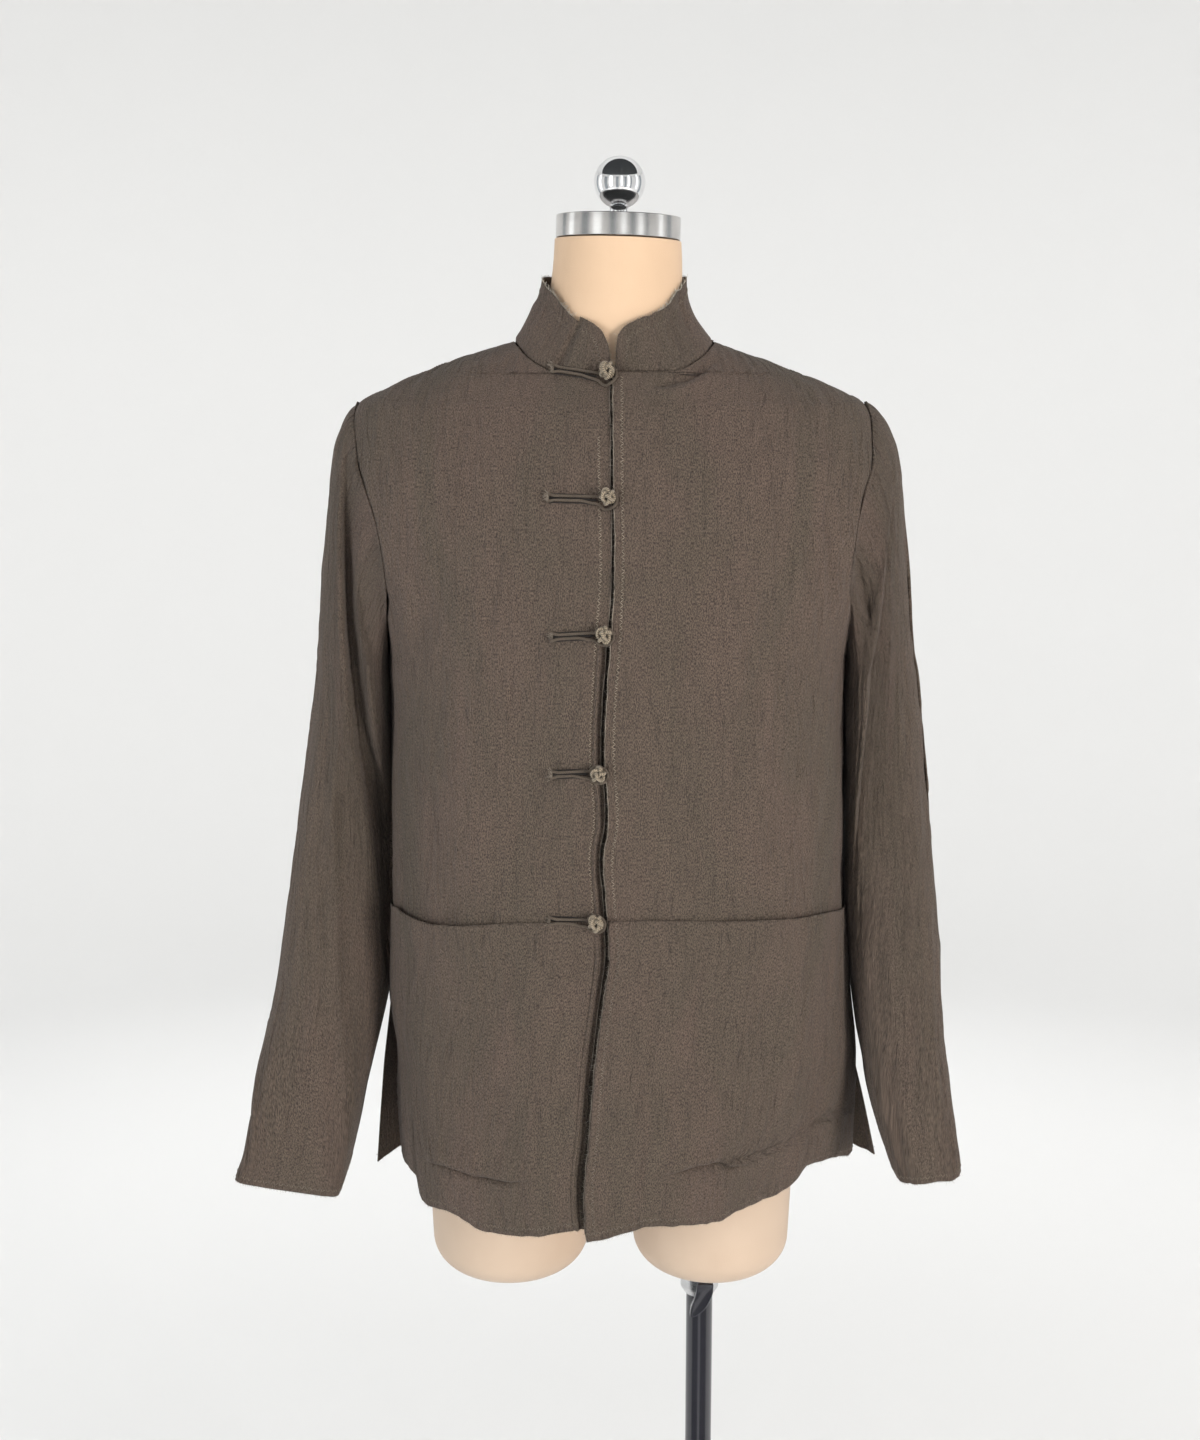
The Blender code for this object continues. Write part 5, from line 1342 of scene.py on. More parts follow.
# %% Cord, threads and the form's cover
def make_cord():
    """Tan cord: plies that wind round it, with painted shade in the grooves between them and pale specks of
    painted highlight.
    """
    material, tree, shader = new_material("tan_knot_cord", 0.8, Sheen_Weight=0.15)
    place = woven_place(tree)
    split = add_node(tree, "ShaderNodeSeparateXYZ", Vector=place).outputs
    along, around = maths(tree, "MULTIPLY", split[0], 620.0), maths(tree, "MULTIPLY", split[1], 2.0)
    twist = maths(tree, "ADD", along, around)
    ply = maths(tree, "ABSOLUTE", maths(tree, "SINE", maths(tree, "MULTIPLY", twist, math.pi)))
    painted_glint = stretched_noise(tree, place, (1400, 9, 1), 2, 0.6)
    # The plies darken towards their grooves with painted shade; the pale specks are painted highlight.
    colour = mix_colour(tree, ramp_value(tree, ply, 0.15, 0.85), (0.055, 0.044, 0.032), (0.285, 0.232, 0.165))
    colour = mix_colour(tree, ramp_value(tree, painted_glint, 0.56, 0.74), colour, (0.540, 0.455, 0.320))
    tree.links.new(colour, shader.inputs["Base Color"])
    bump(tree, shader, ply, 0.0004)
    return material


def make_thread_and_shade(name, colour, roughness=0.75):
    """Dull thread that is darker in places; in a dark colour the same finish is the painted shade of the
    knots and loops.
    """
    material, tree, shader = new_material(name, roughness)
    shade = stretched_noise(tree, own_place(tree), (160, 160, 160), 1)
    darker = tuple(0.6 * part for part in colour)
    mixed = mix_colour(tree, ramp_value(tree, shade, 0.35, 0.65), colour, darker)
    tree.links.new(mixed, shader.inputs["Base Color"])
    return material


def make_form_cloth():
    """Stretched cream cloth, yellower at the neck and a little soiled."""
    material, tree, shader = new_material("cream_form_cloth", 0.75, Sheen_Weight=0.10)
    place = own_place(tree)
    soil = stretched_noise(tree, place, (7, 7, 5), 4, 0.55)
    weave = stretched_noise(tree, place, (1500, 1500, 1500), 1)
    height = add_node(tree, "ShaderNodeSeparateXYZ", Vector=place).outputs[2]
    thigh, neck = (0.490, 0.380, 0.290), (0.580, 0.415, 0.280)
    colour = mix_colour(tree, ramp_value(tree, height, 0.9, 1.5), thigh, neck)
    worn = mix_colour(tree, 1.0, colour, (0.90, 0.88, 0.86), "MULTIPLY")
    soiled = mix_colour(tree, ramp_value(tree, soil, 0.35, 0.70), colour, worn)
    tree.links.new(soiled, shader.inputs["Base Color"])
    bump(tree, shader, weave, 0.00025, 0.6)
    return material


KNOT_CORD_FINISH = make_cord()
# Painted shade: the dark finish of the ball inside each knot.
KNOT_SHADOW_CORE = make_thread_and_shade("knot_shadow", (0.030, 0.024, 0.017))
SEAM_THREAD = make_thread_and_shade("seam_thread", (0.280, 0.238, 0.182))
DULL_THREAD = make_thread_and_shade("dull_seam_thread", (0.165, 0.138, 0.108))
FRAY_THREAD = make_thread_and_shade("frayed_thread", (0.560, 0.520, 0.450))
EDGE_THREAD = make_thread_and_shade("edge_thread", (0.220, 0.185, 0.148))
# Painted shadow: the dark finish of the thin tubes along the loops.
LOOP_SHADOW_FINISH = make_thread_and_shade("loop_shadow_thread", (0.022, 0.019, 0.018))
FORM_CLOTH = make_form_cloth()
print("finishes of cloth and thread:", len(bpy.data.materials))


# %% Metals and paint
def make_brushed(name, centre, colour, roughness=0.30):
    """Steel turned on a lathe: the marks run round its axis."""
    material, tree, shader = new_material(name, roughness, 1.0, Anisotropic=0.45)
    place = own_place(tree)
    moved = add_node(tree, "ShaderNodeVectorMath", {"operation": "SUBTRACT"}, _0=place, _1=centre).outputs[0]
    split = add_node(tree, "ShaderNodeSeparateXYZ", Vector=moved).outputs
    flat = add_node(tree, "ShaderNodeCombineXYZ", X=split[0], Y=split[1]).outputs[0]
    radius = add_node(tree, "ShaderNodeVectorMath", {"operation": "LENGTH"}, _0=flat).outputs["Value"]
    lines = add_node(tree, "ShaderNodeCombineXYZ", X=radius, Y=split[2]).outputs[0]
    marks = stretched_noise(tree, lines, (3200, 3200, 1), 2, 0.7)
    smear = stretched_noise(tree, place, (22, 22, 60), 2)
    darker = tuple(0.82 * part for part in colour)
    smeared = mix_colour(tree, ramp_value(tree, smear, 0.35, 0.7), colour, darker)
    tree.links.new(smeared, shader.inputs["Base Color"])
    worn = add_node(tree, "ShaderNodeMapRange", _0=marks, _1=0.3, _2=0.7,
                    _3=roughness - 0.06, _4=roughness + 0.10)
    tree.links.new(worn.outputs[0], shader.inputs["Roughness"])
    bump(tree, shader, marks, 0.00004, 0.5)
    return material


def make_plain_metal(name, colour, roughness, metallic, coat=0.0):
    """Plain metal or paint, with slight wear in its shine."""
    material, tree, shader = new_material(name, roughness, metallic, Coat_Weight=coat, Coat_Roughness=0.15)
    wear = stretched_noise(tree, own_place(tree), (60, 60, 25), 3)
    lighter = tuple(min(1.0, 1.12 * part + 0.002) for part in colour)
    tree.links.new(mix_colour(tree, wear, colour, lighter), shader.inputs["Base Color"])
    worn = add_node(tree, "ShaderNodeMapRange", _0=wear, _1=0.3, _2=0.7,
                    _3=roughness, _4=roughness + 0.04)
    tree.links.new(worn.outputs[0], shader.inputs["Roughness"])
    return material


CAP_STEEL = make_brushed("brushed_cap", (0.0028, 0.0, 1.627), (0.640, 0.620, 0.605), 0.14)
SOCKET_STEEL = make_brushed("socket_steel", (0.0775, 0.0, 0.71), (0.700, 0.700, 0.710), 0.24)
CHROME = make_plain_metal("mirror_chrome", (0.80, 0.80, 0.81), 0.03, 1.0)
BLACK_PAINT = make_plain_metal("black_enamel", (0.015, 0.015, 0.020), 0.18, 0.0, 0.40)
print("finishes made:", len(bpy.data.materials))


# %% [markdown]
# ## Threads by the thousand
#
# Stitches and frayed threads repeat, so Geometry Nodes places them. A path of points lies on the
# cloth and carries the direction away from it. The node tree spaces points along the path, turns
# a short thread to each one, and makes real geometry of the result. Zigzag stitches lean left
# and right in turn, and frayed threads lean at random.

# %% The thread-laying node tree
def thread_tree(zigzag):
    """A node tree that lays threads along a path; zigzag chooses stitches, otherwise frays."""
    tree = bpy.data.node_groups.new("lay_stitches" if zigzag else "lay_frays", "GeometryNodeTree")
    face = tree.interface
    face.new_socket("Path", in_out="INPUT", socket_type="NodeSocketGeometry")
    for name in ("Spacing", "Length", "Radius", "Lean", "Lift"):
        face.new_socket(name, in_out="INPUT", socket_type="NodeSocketFloat")
    face.new_socket("Thread", in_out="INPUT", socket_type="NodeSocketObject")
    face.new_socket("Finish", in_out="INPUT", socket_type="NodeSocketMaterial")
    face.new_socket("Seed", in_out="INPUT", socket_type="NodeSocketInt")
    face.new_socket("Threads", in_out="OUTPUT", socket_type="NodeSocketGeometry")
    given = tree.nodes.new("NodeGroupInput").outputs
    made = tree.nodes.new("NodeGroupOutput")
    link = tree.links.new
    away = add_node(tree, "GeometryNodeInputNamedAttribute", {"data_type": "FLOAT_VECTOR"},
                    Name="away").outputs[0]
    curve = add_node(tree, "GeometryNodeMeshToCurve", Mesh=given["Path"]).outputs[0]
    spaced = add_node(tree, "GeometryNodeResampleCurve", {"mode": "LENGTH"}, Curve=curve,
                      Length=given["Spacing"]).outputs[0]
    tangent = add_node(tree, "GeometryNodeInputTangent").outputs[0]
    facing = add_node(tree, "FunctionNodeAlignRotationToVector", {"axis": "X"}, Vector=tangent).outputs[0]
    facing = add_node(tree, "FunctionNodeAlignRotationToVector", {"axis": "Z", "pivot_axis": "X"},
                      Rotation=facing, Vector=away).outputs[0]
    index = add_node(tree, "GeometryNodeInputIndex").outputs[0]
    random = lambda low, high, offset: add_node(
        tree, "FunctionNodeRandomValue", {"data_type": "FLOAT"}, _2=low, _3=high, ID=index,
        Seed=maths(tree, "ADD", given["Seed"], offset)).outputs[1]
    if zigzag:
        parity = maths(tree, "MODULO", index, 2.0)
        way = maths(tree, "SUBTRACT", maths(tree, "MULTIPLY", parity, 2.0), 1.0)
        lean = maths(tree, "MULTIPLY", maths(tree, "MULTIPLY", way, given["Lean"]), random(0.85, 1.15, 1.0))
        long = maths(tree, "MULTIPLY", given["Length"], random(0.92, 1.08, 2.0))
        tip = random(-0.06, 0.06, 3.0)
    else:
        lean = maths(tree, "MULTIPLY", given["Lean"], random(0.35, 1.65, 1.0))
        long = maths(tree, "MULTIPLY", given["Length"], random(0.25, 1.0, 2.0))
        tip = random(-0.7, 0.5, 3.0)
    spin = add_node(tree, "ShaderNodeCombineXYZ", Y=tip, Z=lean).outputs[0]
    turned = add_node(tree, "FunctionNodeRotateRotation", {"rotation_space": "LOCAL"}, Rotation=facing,
                      Rotate_By=spin).outputs[0]
    size = add_node(tree, "ShaderNodeCombineXYZ", X=long, Y=given["Radius"], Z=given["Radius"]).outputs[0]
    thread = add_node(tree, "GeometryNodeObjectInfo", Object=given["Thread"]).outputs["Geometry"]
    placed = add_node(tree, "GeometryNodeInstanceOnPoints", Points=spaced, Instance=thread,
                      Rotation=turned, Scale=size).outputs[0]
    raised = add_node(tree, "ShaderNodeVectorMath", {"operation": "SCALE"}, _0=away,
                      Scale=given["Lift"]).outputs[0]
    moved = add_node(tree, "GeometryNodeTranslateInstances", Instances=placed, Translation=raised,
                     Local_Space=False).outputs[0]
    real = add_node(tree, "GeometryNodeRealizeInstances", Geometry=moved).outputs[0]
    coloured = add_node(tree, "GeometryNodeSetMaterial", Geometry=real, Material=given["Finish"]).outputs[0]
    link(coloured, made.inputs[0])
    return tree


# %% Laying threads
def thread_pattern(name, curl, segments, sides):
    """One thread of unit length and radius along X: a stitch (from its middle) or a curled fray."""
    t = np.linspace(0, 1, segments)
    if curl:
        path = np.stack([t, 0.9 * curl * np.sin(2.2 * t) * t, curl * t**2], 1)
        width = 1 - 0.5 * t
    else:
        path = np.stack([t - 0.5, 0 * t, 0 * t], 1)
        width = np.sqrt(np.clip(1 - (2 * t - 1) ** 4, 0.10, 1))
    turn = np.arange(sides) / sides * math.tau
    rings = path[:, None] + np.stack([0 * turn, np.cos(turn), np.sin(turn)], 1)[None] * width[:, None, None]
    thing = skin_rings(name, rings, EDGE_THREAD)
    thing.hide_render = True
    return thing


def lay_threads(name, tree, pattern, paths, finish, seed, **sizes):
    """Runs the node tree along paths of (points, away directions) and keeps a plain mesh."""
    corners, edges, directions, start = [], [], [], 0
    for points, away in paths:
        points = np.asarray(points, float)
        corners.append(points)
        directions.append(np.broadcast_to(away, points.shape))
        edges.append(np.stack([np.arange(len(points) - 1), np.arange(1, len(points))], 1) + start)
        start += len(points)
    corners, edges, directions = np.vstack(corners), np.vstack(edges), np.vstack(directions)
    mesh = bpy.data.meshes.new(name)
    mesh.from_pydata(corners.tolist(), edges.tolist(), [])
    away_values = mesh.attributes.new("away", "FLOAT_VECTOR", "POINT").data
    away_values.foreach_set("vector", directions.astype(np.float32).ravel())
    thing = place_in_scene(name, mesh)
    modifier = thing.modifiers.new("threads", "NODES")
    modifier.node_group = tree
    values = dict(sizes, Thread=pattern, Finish=finish, Seed=seed)
    for item in tree.interface.items_tree:
        if item.in_out == "INPUT" and item.name in values:
            modifier[item.identifier] = values[item.name]
    bpy.context.view_layer.update()
    depsgraph = bpy.context.evaluated_depsgraph_get()
    made = bpy.data.meshes.new_from_object(thing.evaluated_get(depsgraph), depsgraph=depsgraph)
    thing.modifiers.clear()
    thing.data = made
    made.name = name
    print(name, "triangles:", sum(len(face.vertices) - 2 for face in made.polygons))
    return thing


STITCH_TREE, FRAY_TREE = thread_tree(True), thread_tree(False)
STITCH = thread_pattern("stitch_pattern", 0, 4, 4)
FRAY = thread_pattern("fray_pattern", 0.45, 5, 3)
print("nodes in the stitching tree:", len(STITCH_TREE.nodes))


# %% [markdown]
# ## Sewing the jacket together
#
# The panels are made first, then what lies on them, and last their threads. Each piece stands in
# for the construction solid of the same name, which it hides.

# %% What each piece of cloth is
FLAT_SIZES = {                      # width and length of the cut piece, and how much of them it fills
    "front_left": (0.262, 0.770, 0.88), "front_right": (0.275, 0.770, 0.88), "back": (0.560, 0.780, 0.90),
    "sleeve_left": (0.400, 0.665, 0.72), "sleeve_right": (0.395, 0.655, 0.72), "collar": (0.475, 0.062, 0.80),
    "pocket_left": (0.235, 0.262, 0.96), "pocket_right": (0.268, 0.262, 0.96),
}
FIXED_BODY = "form_and_stand"
FACING = {"front_left": -1, "front_right": 1, "pocket_left": -1, "pocket_right": 1,
          "sleeve_left": -1, "sleeve_right": 1, "back": 1, "collar": 1}
pieces, grids, uv_grids = {}, {}, {}


def keep(thing, nodes, body=FIXED_BODY):
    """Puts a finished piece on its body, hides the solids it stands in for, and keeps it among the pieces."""
    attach(thing, body)
    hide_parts(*nodes)
    pieces[thing.name] = thing
    return thing


print("pieces of cloth:", ", ".join(FLAT_SIZES))

# %% Panels, sleeves, collar and pockets
for side in (LEFT, RIGHT):
    word = SIDE_NAMES[side]
    grids["front_" + word], uv_grids["front_" + word] = front_points(side)
    grids["pocket_" + word] = pocket_points(side, grids["front_" + word])
    grids["sleeve_" + word], uv_grids["sleeve_" + word] = sleeve_points(side)
grids["back"], uv_grids["back"] = back_points()
grids["collar"], uv_grids["collar"] = collar_points()
for name, points in grids.items():
    shell = cloth_shell(name + "_cloth", points, FACING[name], CLOTH, name.startswith("sleeve"),
                        uv=uv_grids.get(name))
    keep(shell, [name])
    width, length, share = FLAT_SIZES[name]
    area = sum(face.area for face in shell.data.polygons) / 2
    triangles = 2 * len(shell.data.polygons)
    print(f"{name}: {triangles} triangles, {area:.3f} of {share * width * length:.3f} square metres")


# %% Knots and loops
for number, row in enumerate(FASTENERS, 1):
    height, x, slope, reach, tilt, turn = row
    further = POCKET_STEP if number == len(FASTENERS) else 0
    centre = cloth_front(np.array(x), np.array(height), np.array(KNOT_LIFT + further))
    cord = tube("cord", knot_path(centre, tilt, turn), KNOT_CORD, KNOT_CORD_FINISH, True, 10, (0.2, -1, 0.3))
    turns = np.linspace(0.12, math.pi - 0.12, 12)
    # A dark ball inside the knot is painted shade in the gaps between the cord's turns.
    core_path = centre + np.stack([0 * turns, 0 * turns, -CORE_HALF_LENGTH * np.cos(turns)], 1)
    core = tube("core", core_path, CORE_RADIUS * np.sin(turns), KNOT_SHADOW_CORE, False, 16)
    keep(join_pieces(f"knot_{number}_cord", [cord, core]), [f"knot_{number}"])
    path = loop_path(row)
    path[:, 1] -= further
    cords = tube("cords", path, LOOP_CORD, CORD_CLOTH, False, 10)
    # The thin dark tubes along the loop are painted shadow where it is sewn to the cloth.
    loop_shadows = [tube("binding", loop_shadow_path(row, beside), radius, LOOP_SHADOW_FINISH, False, 6)
                for beside, radius in LOOP_SHADOW_LINES]
    keep(join_pieces(f"loop_{number}_cord", [cords] + loop_shadows), [f"loop_{number}"])
print("knots and loops made:", len(FASTENERS))


# %% [markdown]
# ## The dress form and its stand
#
# The form is a padded torso covered in stretched cream cloth. It has a neck with a turned steel
# cap and a chrome ball, and two short rounded thighs. One thigh takes the pole in a steel socket
# that a small lever clamps. Nearly all of it is turned work, so one lathe function makes it.

# %% Turned pieces
SHARP_EDGE = math.radians(40)       # edges that bend more than this are drawn sharp


def arc(centre_radius, centre_height, radius, start, end, steps):
    """Points of a rounded corner on a turned profile, by degrees from outwards to upwards."""
    turn = np.radians(np.linspace(start, end, steps))
    return [(centre_radius + radius * math.cos(t), centre_height + radius * math.sin(t)) for t in turn]


def turned(name, profile, centre, material, segments=96, lean=0.0, about=(0, 0, 0)):
    """A turned piece from (radius, height) points, closed at both ends on its axis."""
    profile = np.array([(1e-4, profile[0][1])] + list(profile) + [(1e-4, profile[-1][1])], float)
    turn = np.arange(segments) / segments * math.tau
    rings = np.stack([
        centre[0] + profile[:, :1] * np.cos(turn), centre[1] + profile[:, :1] * np.sin(turn),
        np.broadcast_to(profile[:, 1:], (len(profile), segments)),
    ], -1)
    offset = rings - np.array(about)
    x = offset[..., 0] * math.cos(lean) + offset[..., 2] * math.sin(lean)
    z = -offset[..., 0] * math.sin(lean) + offset[..., 2] * math.cos(lean)
    rings = np.stack([x, offset[..., 1], z], -1) + np.array(about)
    thing = skin_rings(name, rings, material)
    thing.data.set_sharp_from_angle(angle=SHARP_EDGE)
    return thing


# %% Sizes of the form
FORM_COLUMNS = ("height", "half_width", "front", "back")
FORM_SECTIONS = (
    (0.790, 0.130, 0.070, 0.080),
    (0.800, 0.150, 0.084, 0.094),
    (0.830, 0.162, 0.094, 0.100),
    (0.900, 0.168, 0.098, 0.100),
    (0.980, 0.162, 0.098, 0.094),
    (1.060, 0.150, 0.098, 0.084),
    (1.140, 0.146, 0.104, 0.084),
    (1.220, 0.154, 0.112, 0.098),
    (1.300, 0.166, 0.120, 0.110),
    (1.360, 0.177, 0.119, 0.112),
    (1.410, 0.189, 0.111, 0.109),
    (1.445, 0.197, 0.100, 0.103),
    (1.470, 0.199, 0.090, 0.098),
    (1.484, 0.197, 0.083, 0.093),
    (1.4945, 0.182, 0.077, 0.089),
    (1.506, 0.157, 0.070, 0.083),
    (1.519, 0.122, 0.062, 0.075),
    (1.530, 0.084, 0.059, 0.067),
    (1.541, 0.067, 0.0570, 0.0610),
    (1.560, 0.0568, 0.0555, 0.0565),
    (1.585, 0.0540, 0.0535, 0.0535),
    (1.6175, 0.0520, 0.0520, 0.0520),
)
NECK_X, CAP_TILT, NECK_TOP = 0.0028, math.radians(1.5), 1.6183
STUBS = {LEFT: -0.0915, RIGHT: 0.0865}
STUB_WIDTH, STUB_DEPTH, STUB_BOTTOM, STUB_TOP, STUB_EDGE = 0.0690, 0.0740, 0.7292, 0.850, 0.027
print("torso from", FORM_SECTIONS[0][0], "to", FORM_SECTIONS[-1][0], "m, thighs from", STUB_BOTTOM)


# %% The form
def torso_rings():
    """Level rings of the torso and the neck; the topmost ones tilt like the cap."""
    heights = np.concatenate([np.linspace(0.790, 1.480, 90), np.linspace(1.483, 1.6175, 60)])
    turn = np.arange(120) / 120 * math.tau
    z, angle = np.meshgrid(heights, turn, indexing="ij")
    size = {name: table_column(FORM_SECTIONS, FORM_COLUMNS, name, z) for name in FORM_COLUMNS}
    depth = np.where(np.cos(angle) >= 0, size["front"], size["back"])
    square = 2.0 + 0.25 * smoothstep(1.50, 1.42, z) * smoothstep(0.80, 0.95, z)
    x = size["half_width"] * signed_power(np.sin(angle), 2 / square)
    x = x + NECK_X * smoothstep(1.545, 1.610, z)
    lean = -math.tan(CAP_TILT) * (x - NECK_X) * smoothstep(1.57, 1.6175, z)
    return np.stack([x, -depth * signed_power(np.cos(angle), 2 / square), z + lean], -1)


def stub_rings(side):
    """Level rings of a thigh, rounded at the bottom."""
    turn = np.arange(96) / 96 * math.tau
    corner = arc(-STUB_EDGE, STUB_BOTTOM + STUB_EDGE, STUB_EDGE, -90, 0, 14)
    sag = [(-0.050, STUB_BOTTOM - 0.0012), (-0.040, STUB_BOTTOM - 0.0006)]
    levels = np.array(sag + corner + [(0.002, STUB_BOTTOM + 0.07), (0.003, STUB_TOP)])
    return np.stack([
        STUBS[side] + (STUB_WIDTH + levels[:, :1]) * np.cos(turn),
        (STUB_DEPTH + levels[:, :1]) * np.sin(turn),
        np.broadcast_to(levels[:, 1:], (len(levels), 96)),
    ], -1)


torso = skin_rings("torso", torso_rings(), FORM_CLOTH)
stubs = [skin_rings("stub", stub_rings(side), FORM_CLOTH) for side in (LEFT, RIGHT)]
form = join_pieces("form_body_cover", [torso] + stubs)
form.data.set_sharp_from_angle(angle=SHARP_EDGE)
keep(form, ["form_body"])
print("corners of the form:", len(form.data.vertices))

# %% Cap and ball
neck_top = (NECK_X, 0, NECK_TOP)
cap_low, cap_high, cap_edge = NECK_TOP + 0.0003, NECK_TOP + 0.0185, 0.0006
cap_profile = (arc(0.0512 - cap_edge, cap_low + cap_edge, cap_edge, -90, 0, 5)
               + arc(0.0512 - cap_edge, cap_high - cap_edge, cap_edge, 0, 90, 5)
               + [(0.030, cap_high), (0.0295, cap_high - 0.0002), (0.012, cap_high - 0.0002)])
cap = turned("neck_cap_steel", cap_profile, (NECK_X, 0), CAP_STEEL, 160, CAP_TILT, neck_top)
keep(cap, ["neck_cap"])

ball_radius, ball_height, washer, shank = 0.0212, 1.6640, 0.0100, 0.0078
ball_profile = [(washer, cap_high + 0.0003), (washer, cap_high + 0.0016), (shank, cap_high + 0.0022),
                (shank, cap_high + 0.006)]
ball_profile += arc(0, ball_height, ball_radius, -66, 89, 60)
ball = turned("finial_chrome", ball_profile, (NECK_X, 0), CHROME, 96, CAP_TILT, neck_top)
keep(ball, ["finial"])
print("cap and ball made, top of the ball at", ball_height + ball_radius)

# %% Socket, pole and base
POLE_X = 0.0775
socket_bottom, socket_top = 0.6960, 0.7285
socket_profile = [(0.0124, socket_bottom), (0.0132, socket_bottom + 0.0006), (0.0166, socket_bottom + 0.0060),
                  (0.0169, socket_bottom + 0.0068), (0.0169, socket_top)]
keep(turned("leg_socket_steel", socket_profile, (POLE_X, 0), SOCKET_STEEL), ["leg_socket"])

pole_low = 0.0083
pole_profile = [(0.032, pole_low)] + arc(0.030, pole_low + 0.006, 0.002, 0, 90, 6)
pole_profile += arc(0.0158, pole_low + 0.012, 0.004, -90, -180, 8) + [(0.0118, 0.6957)]
keep(turned("pole_tube", pole_profile, (POLE_X, 0), BLACK_PAINT), ["pole"])

base_profile = arc(0.179, 0.001, 0.001, -90, 0, 4) + arc(0.178, 0.006, 0.002, 0, 90, 6)
keep(turned("base_plate", base_profile, (0, 0), BLACK_PAINT, 160), ["base"])
print("socket from", socket_bottom, "to", socket_top, "m up")


# %% [markdown]
# ## The clamp lever
#
# The lever is a thick plate with a hub on the socket's screw and a curved blade that ends in a
# blunt tip. It is the one hard piece that moves without the cloth changing, so it rides on its
# own body and turns about the screw.

# %% The lever's outline
LEVER_OUTLINE = (                   # x and height
    (0.0742, 0.7138),
    (0.0765, 0.7150),
    (0.0868, 0.7150),
    (0.0886, 0.7138),
    (0.0884, 0.7076),
    (0.0866, 0.7015),
    (0.0812, 0.6912),
    (0.0722, 0.6842),
    (0.0690, 0.6834),
    (0.0680, 0.6846),
    (0.0684, 0.6900),
    (0.0716, 0.7000),
    (0.0734, 0.7076),
)
LEVER_BACK, LEVER_FRONT, LEVER_EDGE = -0.0172, -0.0268, 0.0009
print("lever", round(1000 * (LEVER_BACK - LEVER_FRONT), 1), "mm thick")


# %% The lever, thickened and bevelled
def plate(name, outline, back, front, edge, material):
    """A flat plate with softened edges between two depths."""
    outline = np.asarray(outline, float)
    ahead = np.roll(outline, -1, 0) - np.roll(outline, 1, 0)
    inward = np.stack([-ahead[:, 1], ahead[:, 0]], 1) / np.linalg.norm(ahead, axis=1, keepdims=True)
    middle = outline.mean(0)
    inward *= np.sign(np.sum(inward * (middle - outline), 1, keepdims=True))
    steps = ((back, edge), (back - edge, 0), (front + edge, 0), (front + 0.3 * edge, 0.3 * edge),
             (front, edge))
    rings = []
    for depth, inset in steps:
        ring = outline + inward * inset
        rings.append(np.stack([ring[:, 0], np.full(len(ring), depth), ring[:, 1]], 1))
    return skin_rings(name, np.array(rings), material)


def rounded_outline(outline, steps=6):
    """A smooth closed curve through an outline's points."""
    points = np.asarray(outline, float)
    count = len(points)
    lap = np.vstack([points[-3:], points, points[:3]])
    at = np.linspace(0, count, count * steps, endpoint=False) + 3
    return np.stack([smooth_curve(range(len(lap)), lap[:, axis], at) for axis in (0, 1)], 1)


outline = rounded_outline(LEVER_OUTLINE)
lever = plate("lever_plate", outline, LEVER_BACK, LEVER_FRONT, LEVER_EDGE, BLACK_PAINT)
lever.data.set_sharp_from_angle(angle=math.radians(50))
keep(lever, ["clamp_lever"], "clamp_lever")
print("pieces so far:", sorted(pieces))

# %% [markdown]
# ## Stitching and raw edges
#
# The edges are left raw, so short threads stick out of them, and a row of zigzag stitches beside
# each edge stops them from fraying further. Each path is the panel's own edge, moved inwards and
# laid back onto the cloth, so the stitches follow every fold.

# %% A panel's edge
def outward(name):
    """The ways out of a panel's cloth."""
    return grid_normals(grids[name], FACING[name], name.startswith("sleeve"))


def panel_edge(name, edge):
    """A panel's edge, the points a little inside it, and the way out of the cloth."""
    points, normals = grids[name], outward(name)
    pick = {
        "bottom": lambda table, step: table[step],
        "top": lambda table, step: table[-1 - step],
        "front": lambda table, step: table[:, step],
        "end": lambda table, step: table[:, -1 - step],
    }[edge]
    line, inner, away = pick(points, 0), pick(points, 3), pick(normals, 0)
    if name.startswith("sleeve"):
        line, inner, away = (np.vstack([table, table[:1]]) for table in (line, inner, away))
    return line, inner, away


# %% Paths on the cloth
def inset_path(name, edge, inset, keep_part=None):
    """A path that stays a set distance inside an edge, laid on the cloth's outer face."""
    line, inner, away = panel_edge(name, edge)
    ahead = np.gradient(line, axis=0)
    ahead /= np.linalg.norm(ahead, axis=1, keepdims=True)
    inward = inner - line
    inward -= ahead * np.sum(inward * ahead, axis=1, keepdims=True)
    inward /= np.linalg.norm(inward, axis=1, keepdims=True)
    wanted = line + inward * inset + away * 0.0009
    if keep_part is not None:
        wanted = wanted[keep_part(wanted)]
    found = [pieces[name + "_cloth"].closest_point_on_mesh(tuple(point)) for point in wanted]
    return np.array([row[1] for row in found]), np.array([row[2] for row in found])


def front_row(name, side, offset, low, high):
    """A path up a front or a pocket, a set distance from the edge that laps over."""
    points, normals = grids[name], outward(name)
    gap = side * edge_gap(points)
    rows = np.flatnonzero((points[:, 5, 2] > low) & (points[:, 5, 2] < high))
    wander = offset + 0.0006 * waver(points[:, 5, 2], 0.05, 160)
    place = lambda table, row: [np.interp(wander[row], gap[row], table[row, :, axis]) for axis in range(3)]
    return tuple(np.array([place(table, row) for row in rows]) for table in (points, normals))


